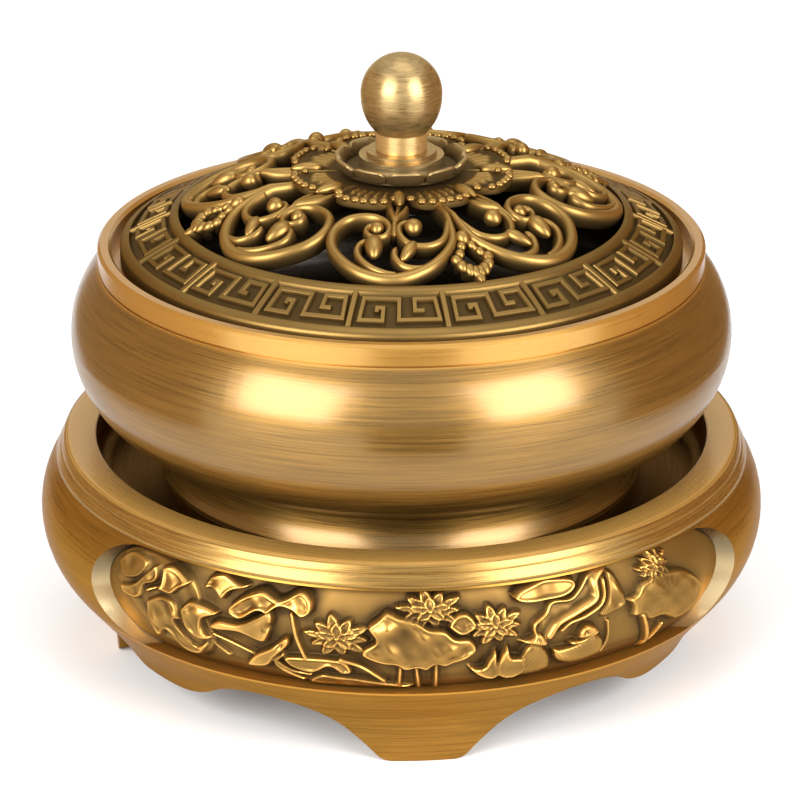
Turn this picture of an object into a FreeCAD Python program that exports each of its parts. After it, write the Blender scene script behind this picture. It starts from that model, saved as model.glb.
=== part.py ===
# Incense burner: a round brass bowl with a pierced domed lid, standing in a dish on four feet.
# Millimetres, +Z up, origin on the axis at the level of the feet, front at -Y.
import FreeCAD
import Part
import Sketcher
import math
import os
import re

# Driving dimensions: name, value and what it measures.
DIMENSIONS = [
    ("stand_radius", 55.0, "widest radius of the stand"),
    ("bulge_height", 23.1, "height of the stand's widest point"),
    ("shoulder_inset", 2.1, "how far the shoulder lies inside the widest radius"),
    ("shoulder_height", 30.3, "height of the shoulder"),
    ("rim_inset", 4.0, "how far the rim's outer edge lies inside the widest radius"),
    ("rim_top", 34.5, "height of the stand's rim"),
    ("rim_width", 4.65, "width of the stand's flat rim"),
    ("rim_round", 0.6, "rounding of the rim's two edges"),
    ("waist_inset", 2.97, "how far the bulge's lower end lies inside the widest radius"),
    ("waist_height", 14.6, "height of the bulge's lower end"),
    ("ankle_inset", 7.6, "how far the feet's upper bend lies inside the widest radius"),
    ("ankle_height", 9.0, "height of the feet's upper bend"),
    ("foot_inset", 10.7, "how far the feet's soles lie inside the widest radius"),
    ("foot_wall", 3.7, "thickness of a foot at its sole"),
    ("stand_wall", 2.1, "wall left behind a relief panel at the waist"),
    ("dish_depth", 6.0, "depth of the dish below the rim"),
    ("dish_floor", 3.0, "thickness of the dish's floor"),
    ("dish_round", 2.0, "rounding between the dish's floor and wall"),
    ("pair_feet", 2.0, "number of feet in a facing pair: front and back, or left and right"),
    ("arch_angle", 26.0, "angle from a foot's middle to the middle of the arch beside it"),
    ("arch_height", 11.2, "height of a front arch above the soles"),
    ("side_height", 9.4, "height of a side arch above the soles"),
    ("arch_shift", 2.6, "how far the top of a front arch lies from its middle, away from the foot"),
    ("side_shift", -4.86, "how far the top of a side arch lies from its middle, away from the foot"),
    ("arch_reach", 12.3, "distance from a front arch's top to the bend beside the foot"),
    ("arch_bend", 5.3, "height of the bend beside the foot"),
    ("toe_reach", 18.0, "distance from a front arch's top to the edge of the foot's sole"),
    ("toe_rise", 1.3, "height of the rounding at the edge of the sole"),
    ("toe_run", 2.4, "length of the rounding at the edge of the sole"),
    ("lobe_reach", 16.3, "distance from a front arch's top to the flat of the lobe"),
    ("side_reach", 8.5, "distance from a side arch's top to the flat of the lobe"),
    ("lobe_low", 5.5, "height of a lobe above the soles"),
    ("lobe_flat", 4.3, "flat length at a lobe's lowest point, from each arch"),
    ("window_bottom", 15.0, "height of a window's lower edge"),
    ("window_tall", 16.0, "height of a window"),
    ("window_angle", 47.5, "half the angle between the middles of a window's round ends"),
    ("window_flare", 35.0, "angle by which a window's ends open outwards"),
    ("panel_recess", 2.4, "depth of a relief panel's face below the stand's outside"),
    ("panel_thick", 1.2, "thickness of a relief panel"),
    ("panel_gap", 0.15, "clearance round a relief panel in its window"),
    ("seat_gap", 0.05, "clearance under pieces that are set down on each other"),
    ("bowl_radius", 49.55, "widest radius of the bowl"),
    ("bowl_bulge", 22.1, "height of the bowl's widest point above its foot"),
    ("bowl_wall", 2.6, "wall of the bowl"),
    ("hip_inset", 7.55, "how far the bowl's lower bend lies inside its widest radius"),
    ("hip_height", 9.0, "height of the lower bend above the foot"),
    ("neck_radius", 34.8, "radius where the bowl meets its foot ring"),
    ("neck_height", 5.2, "height of the foot ring"),
    ("ring_radius", 36.5, "outer radius of the foot ring's sole"),
    ("ring_wall", 3.2, "width of the foot ring's sole"),
    ("ring_lip", 0.8, "height of the foot ring's straight edge"),
    ("bowl_floor", 6.5, "height of the bowl's inner floor above its foot"),
    ("floor_thick", 3.0, "thickness of the bowl's floor"),
    ("collar_inset", 4.35, "how far the collar lies inside the bowl's widest radius"),
    ("collar_base", 32.7, "height of the collar's lower edge above the bowl's foot"),
    ("collar_tall", 3.25, "height of the collar"),
    ("collar_wall", 2.0, "wall of the collar"),
    ("collar_round", 0.45, "bevel of the collar's upper edges"),
    ("groove_depth", 0.35, "depth of the fine groove under the collar"),
    ("groove_tall", 0.3, "height of the fine groove under the collar"),
    ("ledge_depth", 2.4, "depth of the lid's ledge below the collar's top"),
    ("ledge_width", 3.2, "width of the lid's ledge"),
    ("ledge_thick", 1.6, "thickness of the lid's ledge at its edge"),
    ("mat_radius", 31.0, "radius of the fire mat"),
    ("mat_thick", 4.0, "thickness of the fire mat"),
    ("mat_round", 0.8, "rounding of the fire mat's edges"),
    ("lid_gap", 1.35, "gap between the lid and the collar"),
    ("lid_edge", 2.5, "height of the lid's upright edge"),
    ("dome_radius", 86.0, "radius of the sphere under the fret ring"),
    ("dome_thick", 2.4, "thickness of the lid's dome"),
    ("fret_ring", 8.85, "width of the fret ring round the lid"),
    ("fret_border", 1.45, "plain border on both sides of the fret"),
    ("fret_depth", 0.7, "depth of the fret below the borders"),
    ("fret_count", 18.0, "number of fret panels"),
    ("fret_bar", 1.6, "angle of the bar between two fret panels"),
    ("scroll_pairs", 4.0, "number of mirrored pairs of scrolls"),
    ("scroll_span", 22.0, "way from the hub to the fret ring at which the ribbons have their listed widths"),
    ("scroll_flats", 2.0, "flats between two points of a scroll's centre line"),
    ("bud_flats", 8.0, "flats round a bud"),
    ("lid_turn", -6.5, "angle by which the lid's scrolls are turned from the front"),
    ("fret_turn", -4.6, "angle by which the fret panels are turned from the front"),
    ("rosette_turn", -3.2, "angle by which the petals and the cup are turned from the front"),
    ("hub_radius", 11.0, "radius of the lid's middle, which carries the petals"),
    ("hub_flat", 20.2, "radius of the flat in the middle of the lid"),
    ("hub_drop", 1.3, "how far the flat lies below the crown of the fret ring's sphere"),
    ("petal_radius", 17.6, "radius at the petals' tips"),
    ("petal_root", 9.8, "radius at the bottom of the gap between two petals"),
    ("petal_gap", 5.6, "half width of the gap between two petals, at their tips"),
    ("petal_count", 8.0, "number of petals"),
    ("petal_thick", 1.0, "thickness of the petal plate"),
    ("petal_lift", 0.4, "how far the petals' tips curl up"),
    ("cup_radius", 7.9, "radius of the cup's upper edge, over its corners"),
    ("cup_foot", 6.9, "radius of the cup's lower edge, over its corners"),
    ("cup_tall", 1.5, "height of the cup"),
    ("disc_radius", 6.3, "radius of the knob's lower disc"),
    ("disc_tall", 0.7, "height of the knob's lower disc"),
    ("step_radius", 5.2, "radius of the knob's upper disc"),
    ("step_tall", 0.7, "height of the knob's upper disc"),
    ("stem_radius", 3.8, "radius of the knob's stem"),
    ("stem_tall", 2.8, "height of the knob's stem"),
    ("ball_radius", 6.0, "widest radius of the knob's ball"),
    ("ball_low", 5.3, "height of the ball's widest point above the stem"),
    ("ball_high", 6.5, "height of the ball above its widest point"),
    ("screw_radius", 2.0, "radius of the knob's screw"),
    ("screw_gap", 0.05, "clearance round the screw"),
    ("screw_bite", 6.0, "length of screw inside the knob"),
    ("screw_spare", 0.8, "depth of the knob's hole beyond the screw"),
    ("head_radius", 3.6, "radius of the screw's head"),
    ("head_tall", 2.2, "height of the screw's head"),
    ("washer_radius", 5.0, "outer radius of the washer"),
    ("washer_thick", 0.8, "thickness of the washer"),
]

# Heights and radii that follow from the dimensions, written with their names.
DISH = "(rim_top - dish_depth)"
RIM_OUTER = "(stand_radius - rim_inset)"
RIM_INNER = "(stand_radius - rim_inset - rim_width)"
PANEL_BACK = "(panel_recess + panel_thick)"
HOLLOW = "(stand_radius - waist_inset - panel_recess - panel_thick - stand_wall)"
BOWL_FOOT = "(rim_top - dish_depth + seat_gap)"
COLLAR = "(bowl_radius - collar_inset)"
COLLAR_TOP = "(rim_top - dish_depth + seat_gap + collar_base + collar_tall)"
LEDGE = "(%s - ledge_depth)" % COLLAR_TOP
MOUTH = "(%s - collar_wall)" % COLLAR
LID_RADIUS = "(%s - lid_gap)" % MOUTH
LID_FOOT = "(%s + seat_gap)" % LEDGE
DOME_DROP = "sqrt(dome_radius ^ 2 - %s ^ 2)" % LID_RADIUS
DOME_CENTRE = "(%s + lid_edge - %s)" % (LID_FOOT, DOME_DROP)
HUB_TOP = "(%s + dome_radius - hub_drop)" % DOME_CENTRE
HUB_UNDER = "(%s - dome_thick)" % HUB_TOP
RING_INNER = "(%s - fret_ring)" % LID_RADIUS
PETAL_TOP = "(%s + petal_thick)" % HUB_TOP
CUP_TOP = "(%s + cup_tall)" % PETAL_TOP
STEM_TOP = "(%s + disc_tall + step_tall + stem_tall)" % CUP_TOP
BALL_MIDDLE = "(%s + ball_low)" % STEM_TOP

# Centre lines of one scroll: angle from the scroll's middle in degrees, way out from the hub (0) to
# the fret ring (1), and width in mm. The next scroll is its mirror image.
MAIN_STEM = [
    (21.7, 0.00, 1.3), (21.2, 0.36, 1.3), (20.2, 0.57, 1.4), (17.2, 0.72, 1.5), (11.0, 0.855, 1.7),
    (3.6, 0.955, 2.0), (-4.2, 0.96, 2.0), (-12.4, 0.865, 1.8), (-18.6, 0.73, 1.6), (-20.8, 0.576, 1.6),
    (-17.4, 0.45, 1.4), (-8.7, 0.412, 1.2), (-2.2, 0.485, 1.1), (-2.4, 0.593, 1.1), (-7.0, 0.622, 1.0),
    (-9.9, 0.559, 1.0), (-7.6, 0.504, 1.0),
]
SECOND_STEM = [
    (20.3, 0.50, 1.2), (17.8, 0.594, 1.2), (12.8, 0.681, 1.3), (6.0, 0.679, 1.2), (1.5, 0.569, 1.1),
    (2.6, 0.478, 1.1), (6.4, 0.472, 1.0),
]
OUTER_HOOK = [
    (-0.5, 0.925, 1.4), (-5.1, 0.882, 1.3), (-10.0, 0.785, 1.2), (-10.6, 0.70, 1.1), (-8.4, 0.648, 1.0),
]
INNER_HOOK = [
    (9.0, 0.872, 1.4), (4.2, 0.869, 1.3), (0.7, 0.787, 1.2), (0.6, 0.72, 1.1), (2.0, 0.68, 1.0),
]
SPROUT = [(0.0, 0.60, 1.3), (0.0, 0.43, 1.3), (0.6, 0.20, 1.2), (0.6, -0.10, 1.2)]
CROWN = [
    (22.3, 0.665, 1.1), (20.2, 0.76, 1.1), (18.4, 0.84, 1.2), (19.4, 0.91, 1.4), (23.6, 0.975, 1.6),
]
RIBBONS = [MAIN_STEM, SECOND_STEM, OUTER_HOOK, INNER_HOOK, SPROUT, CROWN]

# Buds where the ribbons end: angle, way out and radius in mm.
BUDS = [
    (-6.0, 0.53, 0.75), (6.8, 0.521, 0.95), (-5.9, 0.68, 1.05), (4.4, 0.722, 0.9), (22.1, 0.665, 1.1),
]

UPRIGHT = FreeCAD.Vector(0, 0, 1)

document = FreeCAD.newDocument("incense_burner")
sheet = document.addObject("Spreadsheet::Sheet", "Sizes")
for row, (alias, value, meaning) in enumerate(DIMENSIONS, start=1):
    sheet.set("A%d" % row, alias)
    sheet.set("B%d" % row, str(value))
    sheet.set("C%d" % row, meaning)
    sheet.setAlias("B%d" % row, alias)
document.recompute()
ALIASES = {alias for alias, value, meaning in DIMENSIONS}


def bound(text):
    """The expression with each dimension's name written as the sheet's cell."""
    return re.sub(r"[a-z_]+", lambda word: ("Sizes." if word[0] in ALIASES else "") + word[0], text)


def size(text):
    """The expression's value in millimetres, degrees or pieces."""
    return float(sheet.evalExpression(bound(text)))


def origin_plane(body, role):
    """One of the body's own origin planes."""
    for feature in body.Origin.OriginFeatures:
        if feature.Role == role:
            return feature
    raise ValueError("no plane " + role)


def origin_axis(body):
    """The body's own upright axis."""
    return origin_plane(body, "Z_Axis")


def arc_centre(start, end, kind):
    """Centre of an arc that is upright or level at one of its ends, or lies about the axis."""
    across = start.x - end.x
    up = start.y - end.y
    if kind == "about_axis":
        return FreeCAD.Vector(0, (start.Length ** 2 - end.Length ** 2) / (2 * up), 0)
    if kind in ("upright_end", "upright_start"):
        level = end.y if kind == "upright_end" else start.y
        far = start if kind == "upright_end" else end
        near = end if kind == "upright_end" else start
        middle = (far.x ** 2 - near.x ** 2 + up ** 2) / (2 * (far.x - near.x))
        return FreeCAD.Vector(middle, level, 0)
    plumb = end.x if kind == "level_end" else start.x
    far = start if kind == "level_end" else end
    near = end if kind == "level_end" else start
    middle = (far.y ** 2 - near.y ** 2 + across ** 2) / (2 * (far.y - near.y))
    return FreeCAD.Vector(plumb, middle, 0)


def outline(body, name, role, corners, turn=0.0):
    """A closed outline whose corners follow the sheet.

    Each corner is (across, up, kind of arc to the next corner or None for a straight line).
    """
    sketch = body.newObject("Sketcher::SketchObject", name)
    sketch.AttachmentSupport = (origin_plane(body, role), [""])
    sketch.MapMode = "FlatFace"
    if turn:
        spin = FreeCAD.Rotation(FreeCAD.Vector(0, 1, 0), turn)
        sketch.AttachmentOffset = FreeCAD.Placement(FreeCAD.Vector(), spin)
    points = [FreeCAD.Vector(size(across), size(up), 0) for across, up, kind in corners]
    ends = []
    for number, (across, up, kind) in enumerate(corners):
        start = points[number]
        end = points[(number + 1) % len(points)]
        if kind is None:
            line = sketch.addGeometry(Part.LineSegment(start, end), False)
            ends.append((line, 1, 2))
            continue
        centre = arc_centre(start, end, kind)
        first = start - centre
        last = end - centre
        leftward = first.x * last.y - first.y * last.x > 0
        if not leftward:
            first, last = last, first
        circle = Part.Circle(centre, UPRIGHT, first.Length)
        low = math.atan2(first.y, first.x)
        high = math.atan2(last.y, last.x)
        arc = sketch.addGeometry(Part.ArcOfCircle(circle, low, high), False)
        begin, finish = (1, 2) if leftward else (2, 1)
        ends.append((arc, begin, finish))
    for number, (across, up, kind) in enumerate(corners):
        edge, begin, finish = ends[number]
        following = ends[(number + 1) % len(ends)]
        sketch.addConstraint(Sketcher.Constraint("Coincident", edge, finish, following[0], following[1]))
        for words, direction, axis in ((across, "DistanceX", -2), (up, "DistanceY", -1)):
            if words == "0":
                sketch.addConstraint(Sketcher.Constraint("PointOnObject", edge, begin, axis))
                continue
            held = Sketcher.Constraint(direction, -1, 1, edge, begin, size(words))
            index = sketch.addConstraint(held)
            sketch.setExpression("Constraints[%d]" % index, bound(words))
        if kind == "about_axis":
            sketch.addConstraint(Sketcher.Constraint("PointOnObject", edge, 3, -2))
        elif kind is not None:
            held_end = finish if kind.endswith("end") else begin
            alignment = "Horizontal" if kind.startswith("upright") else "Vertical"
            sketch.addConstraint(Sketcher.Constraint(alignment, edge, 3, edge, held_end))
    return sketch


def revolved(label, corners):
    """A body turned about the upright axis from one profile."""
    body = document.addObject("PartDesign::Body", label + "_body")
    body.Label = label
    profile = outline(body, label + "_profile", "XZ_Plane", corners)
    turned = body.newObject("PartDesign::Revolution", label + "_turned")
    turned.Profile = profile
    turned.ReferenceAxis = (profile, ["V_Axis"])
    turned.Angle = 360.0
    document.recompute()
    return body


def polar_pattern(body, name, originals, count):
    """Copies of features, evenly round the upright axis."""
    pattern = body.newObject("PartDesign::PolarPattern", name)
    pattern.Originals = originals
    pattern.Axis = (origin_axis(body), [""])
    pattern.Angle = 360.0
    pattern.setExpression("Occurrences", bound(count))
    body.Tip = pattern
    document.recompute()
    return pattern


def through_pocket(body, sketch, name, towards_front=True):
    """A cut from the axis through one wall."""
    pocket = body.newObject("PartDesign::Pocket", name)
    pocket.Profile = sketch
    pocket.Type = "ThroughAll"
    pocket.Reversed = towards_front
    before = body.Shape.Volume
    document.recompute()
    if pocket.Shape.Volume >= before:
        raise ValueError(name + " cuts nothing")
    return pocket


def cylinder(name, radius, tall, low, angle="360"):
    """A cylinder on the upright axis."""
    drum = document.addObject("Part::Cylinder", name)
    drum.setExpression("Radius", bound(radius))
    drum.setExpression("Height", bound(tall))
    drum.setExpression("Angle", bound(angle))
    drum.setExpression("Placement.Base.z", bound(low))
    return drum


def stand_casting():
    """Dish, wall and feet in one turned casting, with the arches cut between the feet."""
    body = revolved("stand_casting", [
        ("0", DISH + " - dish_floor", None),
        ("0", DISH, None),
        (RIM_INNER + " - dish_round", DISH, "level_start"),
        (RIM_INNER, DISH + " + dish_round", None),
        (RIM_INNER, "rim_top - rim_round", "upright_start"),
        (RIM_INNER + " + rim_round", "rim_top", None),
        (RIM_OUTER + " - rim_round", "rim_top", "level_start"),
        (RIM_OUTER, "rim_top - rim_round", None),
        ("stand_radius - shoulder_inset", "shoulder_height", "upright_end"),
        ("stand_radius", "bulge_height", "upright_start"),
        ("stand_radius - waist_inset", "waist_height", None),
        ("stand_radius - ankle_inset", "ankle_height", "upright_end"),
        ("stand_radius - foot_inset", "0", None),
        ("stand_radius - foot_inset - foot_wall", "0", "upright_start"),
        ("stand_radius - ankle_inset - foot_wall", "ankle_height", None),
        (HOLLOW, "waist_height", None),
        (HOLLOW, DISH + " - dish_floor - dish_round", "upright_start"),
        (HOLLOW + " - dish_round", DISH + " - dish_floor", None),
    ])
    for foot, facing, top, high, reach in (
        ("front", 0.0, "arch_shift", "arch_height", "lobe_reach"),
        ("side", 90.0, "side_shift", "side_height", "side_reach"),
    ):
        for side, way in ((1, ""), (-1, "-")):
            arch = [
                (top, high, "level_start"),
                (top + " + %s / 2" % reach, "(%s + lobe_low) / 2" % high, "level_end"),
                (top + " + " + reach, "lobe_low", None),
                (top + " + %s + lobe_flat" % reach, "lobe_low", None),
                (top + " + %s + lobe_flat" % reach, "-toe_rise", None),
                ("arch_shift - toe_reach", "-toe_rise", None),
                ("arch_shift - toe_reach", "0", "level_start"),
                ("arch_shift - toe_reach + toe_run", "toe_rise", None),
                ("arch_shift - arch_reach", "arch_bend", "level_end"),
            ]
            placed = [("%s(%s)" % (way, across), up, kind) for across, up, kind in arch]
            name = "%s_%s" % (foot, "right" if side > 0 else "left")
            sketch = outline(body, "arch_" + name, "XZ_Plane", placed, turn=facing + side * size("arch_angle"))
            pocket = through_pocket(body, sketch, "arch_cut_" + name)
            polar_pattern(body, "arches_" + name, [pocket], "pair_feet")
    return body


def barrel(name, depth):
    """A solid whose side lies at one depth inside the stand's bulging outside."""
    waist = "stand_radius - waist_inset - " + depth
    shoulder = "stand_radius - shoulder_inset - " + depth
    return revolved(name, [
        ("0", "0", None),
        (waist, "0", None),
        (waist, "waist_height", "upright_end"),
        ("stand_radius - " + depth, "bulge_height", "upright_start"),
        (shoulder, "shoulder_height", None),
        (shoulder, "rim_top", None),
        ("0", "rim_top", None),
    ])


def window_end(name, half_tall, low, turn, side):
    """One round end of a window: a cylinder that opens outwards, and a block that joins it to the window."""
    reach = size("window_tall")
    at = math.radians(turn + side * size("window_angle"))
    lean = turn + side * (size("window_angle") + size("window_flare"))
    along = FreeCAD.Rotation(UPRIGHT, lean).multVec(FreeCAD.Vector(1, 0, 0))
    across = UPRIGHT.cross(along)
    radius = size("stand_radius - panel_recess")
    start = FreeCAD.Vector(radius * math.cos(at), radius * math.sin(at), 0) - along * (reach / 2)
    end = document.addObject("Part::Cylinder", name)
    end.setExpression("Radius", bound(half_tall))
    end.setExpression("Height", bound("window_tall"))
    level = FreeCAD.Rotation(FreeCAD.Vector(0, 1, 0), 90)
    end.Placement = FreeCAD.Placement(start, FreeCAD.Rotation(UPRIGHT, lean).multiply(level))
    end.setExpression("Placement.Base.z", bound("window_bottom + window_tall / 2"))
    block = document.addObject("Part::Box", name + "_block")
    block.setExpression("Length", bound("window_tall"))
    block.setExpression("Width", bound("window_tall / 2"))
    block.setExpression("Height", bound("2 * " + half_tall))
    corner = start - across * (reach / 2) if side > 0 else start
    block.Placement = FreeCAD.Placement(corner, FreeCAD.Rotation(UPRIGHT, lean))
    block.setExpression("Placement.Base.z", bound(low))
    return [end, block]


def window_block(name, margin, turn):
    """A long window's shape from the stand's back to its outside: a ring sector with round ends, facing turn."""
    half_tall = "(window_tall / 2 - %s)" % margin
    low = "(window_bottom + %s)" % margin
    outer = "stand_radius + panel_thick"
    sector = cylinder(name + "_sector", outer, "2 * " + half_tall, low, "2 * window_angle")
    sector.Placement.Rotation = FreeCAD.Rotation(UPRIGHT, turn - size("window_angle"))
    shapes = [sector]
    for side, end in ((-1, "_left"), (1, "_right")):
        shapes += window_end(name + end, half_tall, low, turn, side)
    joined = document.addObject("Part::MultiFuse", name + "_solid")
    joined.Shapes = shapes
    block = document.addObject("Part::Cut", name)
    block.Base = joined
    block.Tool = barrel(name + "_core", PANEL_BACK)
    return block


def stand():
    """The stand with its two windows, and a relief panel for each."""
    casting = stand_casting()
    blocks = []
    panels = []
    for name, turn in (("front", -90.0), ("back", 90.0)):
        blocks.append(window_block("window_" + name, "0", turn))
        panel = document.addObject("Part::Common", "relief_panel_" + name)
        panel.Base = window_block("panel_blank_" + name, "panel_gap", turn)
        panel.Tool = barrel("panel_face_" + name, "panel_recess")
        panels.append(panel)
    windows = document.addObject("Part::MultiFuse", "windows")
    windows.Shapes = blocks
    pierced = document.addObject("Part::Cut", "base_stand")
    pierced.Base = casting
    pierced.Tool = windows
    return [pierced] + panels


def bowl():
    """The turned bowl: foot ring, bulging wall, collar and the ledge inside it."""
    foot = BOWL_FOOT + " + "
    inner_bulge = "bowl_radius - bowl_wall"
    return revolved("bowl", [
        ("0", foot + "bowl_floor - floor_thick", None),
        ("0", foot + "bowl_floor", None),
        ("neck_radius - bowl_wall", foot + "bowl_floor", None),
        ("bowl_radius - hip_inset - bowl_wall", foot + "hip_height + bowl_wall", "upright_end"),
        (inner_bulge, foot + "bowl_bulge", "upright_start"),
        (MOUTH, LEDGE + " - ledge_thick - ledge_width", None),
        (MOUTH + " - ledge_width", LEDGE + " - ledge_thick", None),
        (MOUTH + " - ledge_width", LEDGE, None),
        (MOUTH, LEDGE, None),
        (MOUTH, COLLAR_TOP + " - collar_round", None),
        (MOUTH + " + collar_round", COLLAR_TOP, None),
        (COLLAR + " - collar_round", COLLAR_TOP, None),
        (COLLAR, COLLAR_TOP + " - collar_round", None),
        (COLLAR, foot + "collar_base + groove_tall", None),
        (COLLAR + " - groove_depth", foot + "collar_base + groove_tall", None),
        (COLLAR + " - groove_depth", foot + "collar_base", None),
        (COLLAR, foot + "collar_base", "upright_end"),
        ("bowl_radius", foot + "bowl_bulge", "upright_start"),
        ("bowl_radius - hip_inset", foot + "hip_height", None),
        ("neck_radius", foot + "neck_height", "upright_start"),
        ("ring_radius", foot + "ring_lip", None),
        ("ring_radius", BOWL_FOOT, None),
        ("ring_radius - ring_wall", BOWL_FOOT, None),
        ("ring_radius - ring_wall", foot + "bowl_floor - floor_thick", None),
    ])


def fire_mat():
    """Fibre disc on the bowl's floor."""
    low = "(%s + bowl_floor)" % BOWL_FOOT
    return revolved("fire_mat", [
        ("0", low, None),
        ("mat_radius - mat_round", low, "level_start"),
        ("mat_radius", low + " + mat_round", None),
        ("mat_radius", low + " + mat_thick - mat_round", "upright_start"),
        ("mat_radius - mat_round", low + " + mat_thick", None),
        ("0", low + " + mat_thick", None),
    ])


def on_dome(radius, shell="dome_radius"):
    """Height of the fret ring's sphere, or of a sphere about its centre, at a radius."""
    return "(%s + sqrt((%s) ^ 2 - (%s) ^ 2))" % (DOME_CENTRE, shell, radius)


def dome():
    """The lid's whole dome before it is pierced: upright edge, flat middle and recessed fret panels."""
    under = "dome_radius - dome_thick"
    inner_edge = LID_RADIUS + " - dome_thick / 4"
    body = revolved("dome", [
        ("0", HUB_UNDER, None),
        ("0", HUB_TOP, None),
        ("hub_flat", HUB_TOP, "about_axis"),
        (RING_INNER, on_dome(RING_INNER), "about_axis"),
        (LID_RADIUS, on_dome(LID_RADIUS), None),
        (LID_RADIUS, LID_FOOT, None),
        (inner_edge, LID_FOOT, None),
        (inner_edge, on_dome(inner_edge, under), "about_axis"),
        (RING_INNER, on_dome(RING_INNER, under), "about_axis"),
        ("hub_flat - dome_thick / 2", HUB_UNDER, None),
    ])
    inner = "(%s + fret_border)" % RING_INNER
    outer = "(%s - fret_border)" % LID_RADIUS
    panel = outline(body, "fret_panel", "YZ_Plane", [
        (inner, on_dome(inner) + " - fret_depth", None),
        (outer, on_dome(outer) + " - fret_depth", None),
        (outer, on_dome(outer) + " + fret_depth", None),
        (inner, on_dome(inner) + " + fret_depth", None),
    ])
    groove = body.newObject("PartDesign::Groove", "fret_cut")
    groove.Profile = panel
    groove.ReferenceAxis = (panel, ["V_Axis"])
    groove.Midplane = True
    groove.setExpression("Angle", bound("360 / fret_count - fret_bar"))
    document.recompute()
    polar_pattern(body, "fret_panels", [groove], "fret_count")
    return turned(body, "fret_turn")


def turned(body, angle):
    """The body, turned about the upright axis."""
    body.Placement.Rotation = FreeCAD.Rotation(UPRIGHT, size(angle))
    return body


def on_sheet(angle, way_out, mirrored, turn):
    """A point of the flat pattern, from its angle and its way out from the hub to the fret ring."""
    heading = math.radians(turn + (-angle if mirrored else angle))
    radius = size("hub_radius") + way_out * (size(RING_INNER) - size("hub_radius"))
    return FreeCAD.Vector(radius * math.sin(heading), -radius * math.cos(heading), 0)


def upward(face):
    """The flat face, turned so that it looks up."""
    if face.normalAt(0, 0).z < 0:
        face.reverse()
    return face


def ribbon_growth():
    """How much wider the ribbons are than listed, where the way from hub to ring is longer."""
    return size("(%s - hub_radius) / scroll_span" % RING_INNER)


def ribbon(centre_line, mirrored, turn):
    """A flat ribbon of varying width along a smooth centre line, with pointed round ends."""
    points = [on_sheet(angle, way_out, mirrored, turn) for angle, way_out, width in centre_line]
    spine = Part.BSplineCurve()
    spine.interpolate(points)
    knots = [spine.parameter(point) for point in points]
    widths = [width * ribbon_growth() for angle, way_out, width in centre_line]
    left = []
    right = []
    flats = int(round(size("scroll_flats")))
    for number in range((len(knots) - 1) * flats + 1):
        span = min(number // flats, len(knots) - 2)
        share = number / flats - span
        place = knots[span] + share * (knots[span + 1] - knots[span])
        half_width = (widths[span] + share * (widths[span + 1] - widths[span])) / 2
        along = spine.tangent(place)[0]
        aside = FreeCAD.Vector(-along.y, along.x, 0) * half_width
        left.append(spine.value(place) + aside)
        right.append(spine.value(place) - aside)
    tail = points[0] - spine.tangent(knots[0])[0] * (widths[0] / 2)
    tip = points[-1] + spine.tangent(knots[-1])[0] * (widths[-1] / 2)
    corners = [tail] + left + [tip] + right[::-1] + [tail]
    return upward(Part.Face(Part.makePolygon(corners)))


def bud(angle, way_out, radius, mirrored, turn):
    """A bud in the plane of the ribbons, cut to flats."""
    reach = radius * ribbon_growth()
    middle = on_sheet(angle, way_out, mirrored, turn)
    flats = int(round(size("bud_flats")))
    corners = []
    for number in range(flats + 1):
        heading = 2 * math.pi * number / flats
        corners.append(middle + FreeCAD.Vector(math.cos(heading), math.sin(heading), 0) * reach)
    return upward(Part.Face(Part.makePolygon(corners)))


def disc_face(radius):
    """A round face on the axis."""
    circle = Part.Circle(FreeCAD.Vector(), UPRIGHT, radius)
    return upward(Part.Face(Part.Wire(circle.toShape())))


def grille_pattern():
    """The lid seen from above as one pierced sheet: fret ring, mirrored scrolls and hub."""
    pairs = int(round(size("scroll_pairs")))
    step = 360.0 / pairs
    faces = [disc_face(size("hub_radius"))]
    for number in range(pairs):
        for mirrored, beside in ((False, 0.0), (True, step / 2)):
            turn = number * step + beside + size("lid_turn")
            faces += [ribbon(line, mirrored, turn) for line in RIBBONS]
            faces += [bud(angle, out, radius, mirrored, turn) for angle, out, radius in BUDS]
    outer = disc_face(size(LID_RADIUS) + size("lid_gap"))
    ring = upward(outer.cut(disc_face(size(RING_INNER))).Faces[0])
    pierced_sheet = ring.fuse(faces).removeSplitter()
    if len(pierced_sheet.Faces) != 1:
        raise ValueError("the grille falls apart")
    pattern = document.addObject("Part::Feature", "grille_pattern")
    pattern.Shape = pierced_sheet.Faces[0].extrude(FreeCAD.Vector(0, 0, size(PETAL_TOP)))
    return pattern


def lid():
    """The dome pierced to the scroll pattern, with the screw's hole in its hub."""
    pierced = document.addObject("Part::Common", "pierced_dome")
    pierced.Base = dome()
    pierced.Tool = grille_pattern()
    hole = cylinder("lid_hole", "screw_radius + screw_gap", PETAL_TOP, "0")
    drilled = document.addObject("Part::Cut", "lid")
    drilled.Base = pierced
    drilled.Tool = hole
    return drilled


def lotus_petals():
    """Thin flower plate on the hub, with a gap cut between each two petals."""
    hole = "screw_radius + screw_gap"
    body = revolved("lotus_petals", [
        (hole, HUB_TOP, None),
        (hole, PETAL_TOP, None),
        ("cup_radius", PETAL_TOP, "level_start"),
        ("petal_radius", PETAL_TOP + " + petal_lift", None),
        ("petal_radius", HUB_TOP + " + petal_lift", "level_end"),
        ("cup_radius", HUB_TOP, None),
    ])
    reach = "petal_radius + petal_thick"
    gap = [("0", "petal_root", None), ("petal_gap", reach, None), ("-petal_gap", reach, None)]
    sketch = outline(body, "petal_gap_outline", "XY_Plane", gap)
    cut = through_pocket(body, sketch, "petal_gap_cut")
    polar_pattern(body, "petal_gaps", [cut], "petal_count")
    return turned(body, "rosette_turn")


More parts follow.
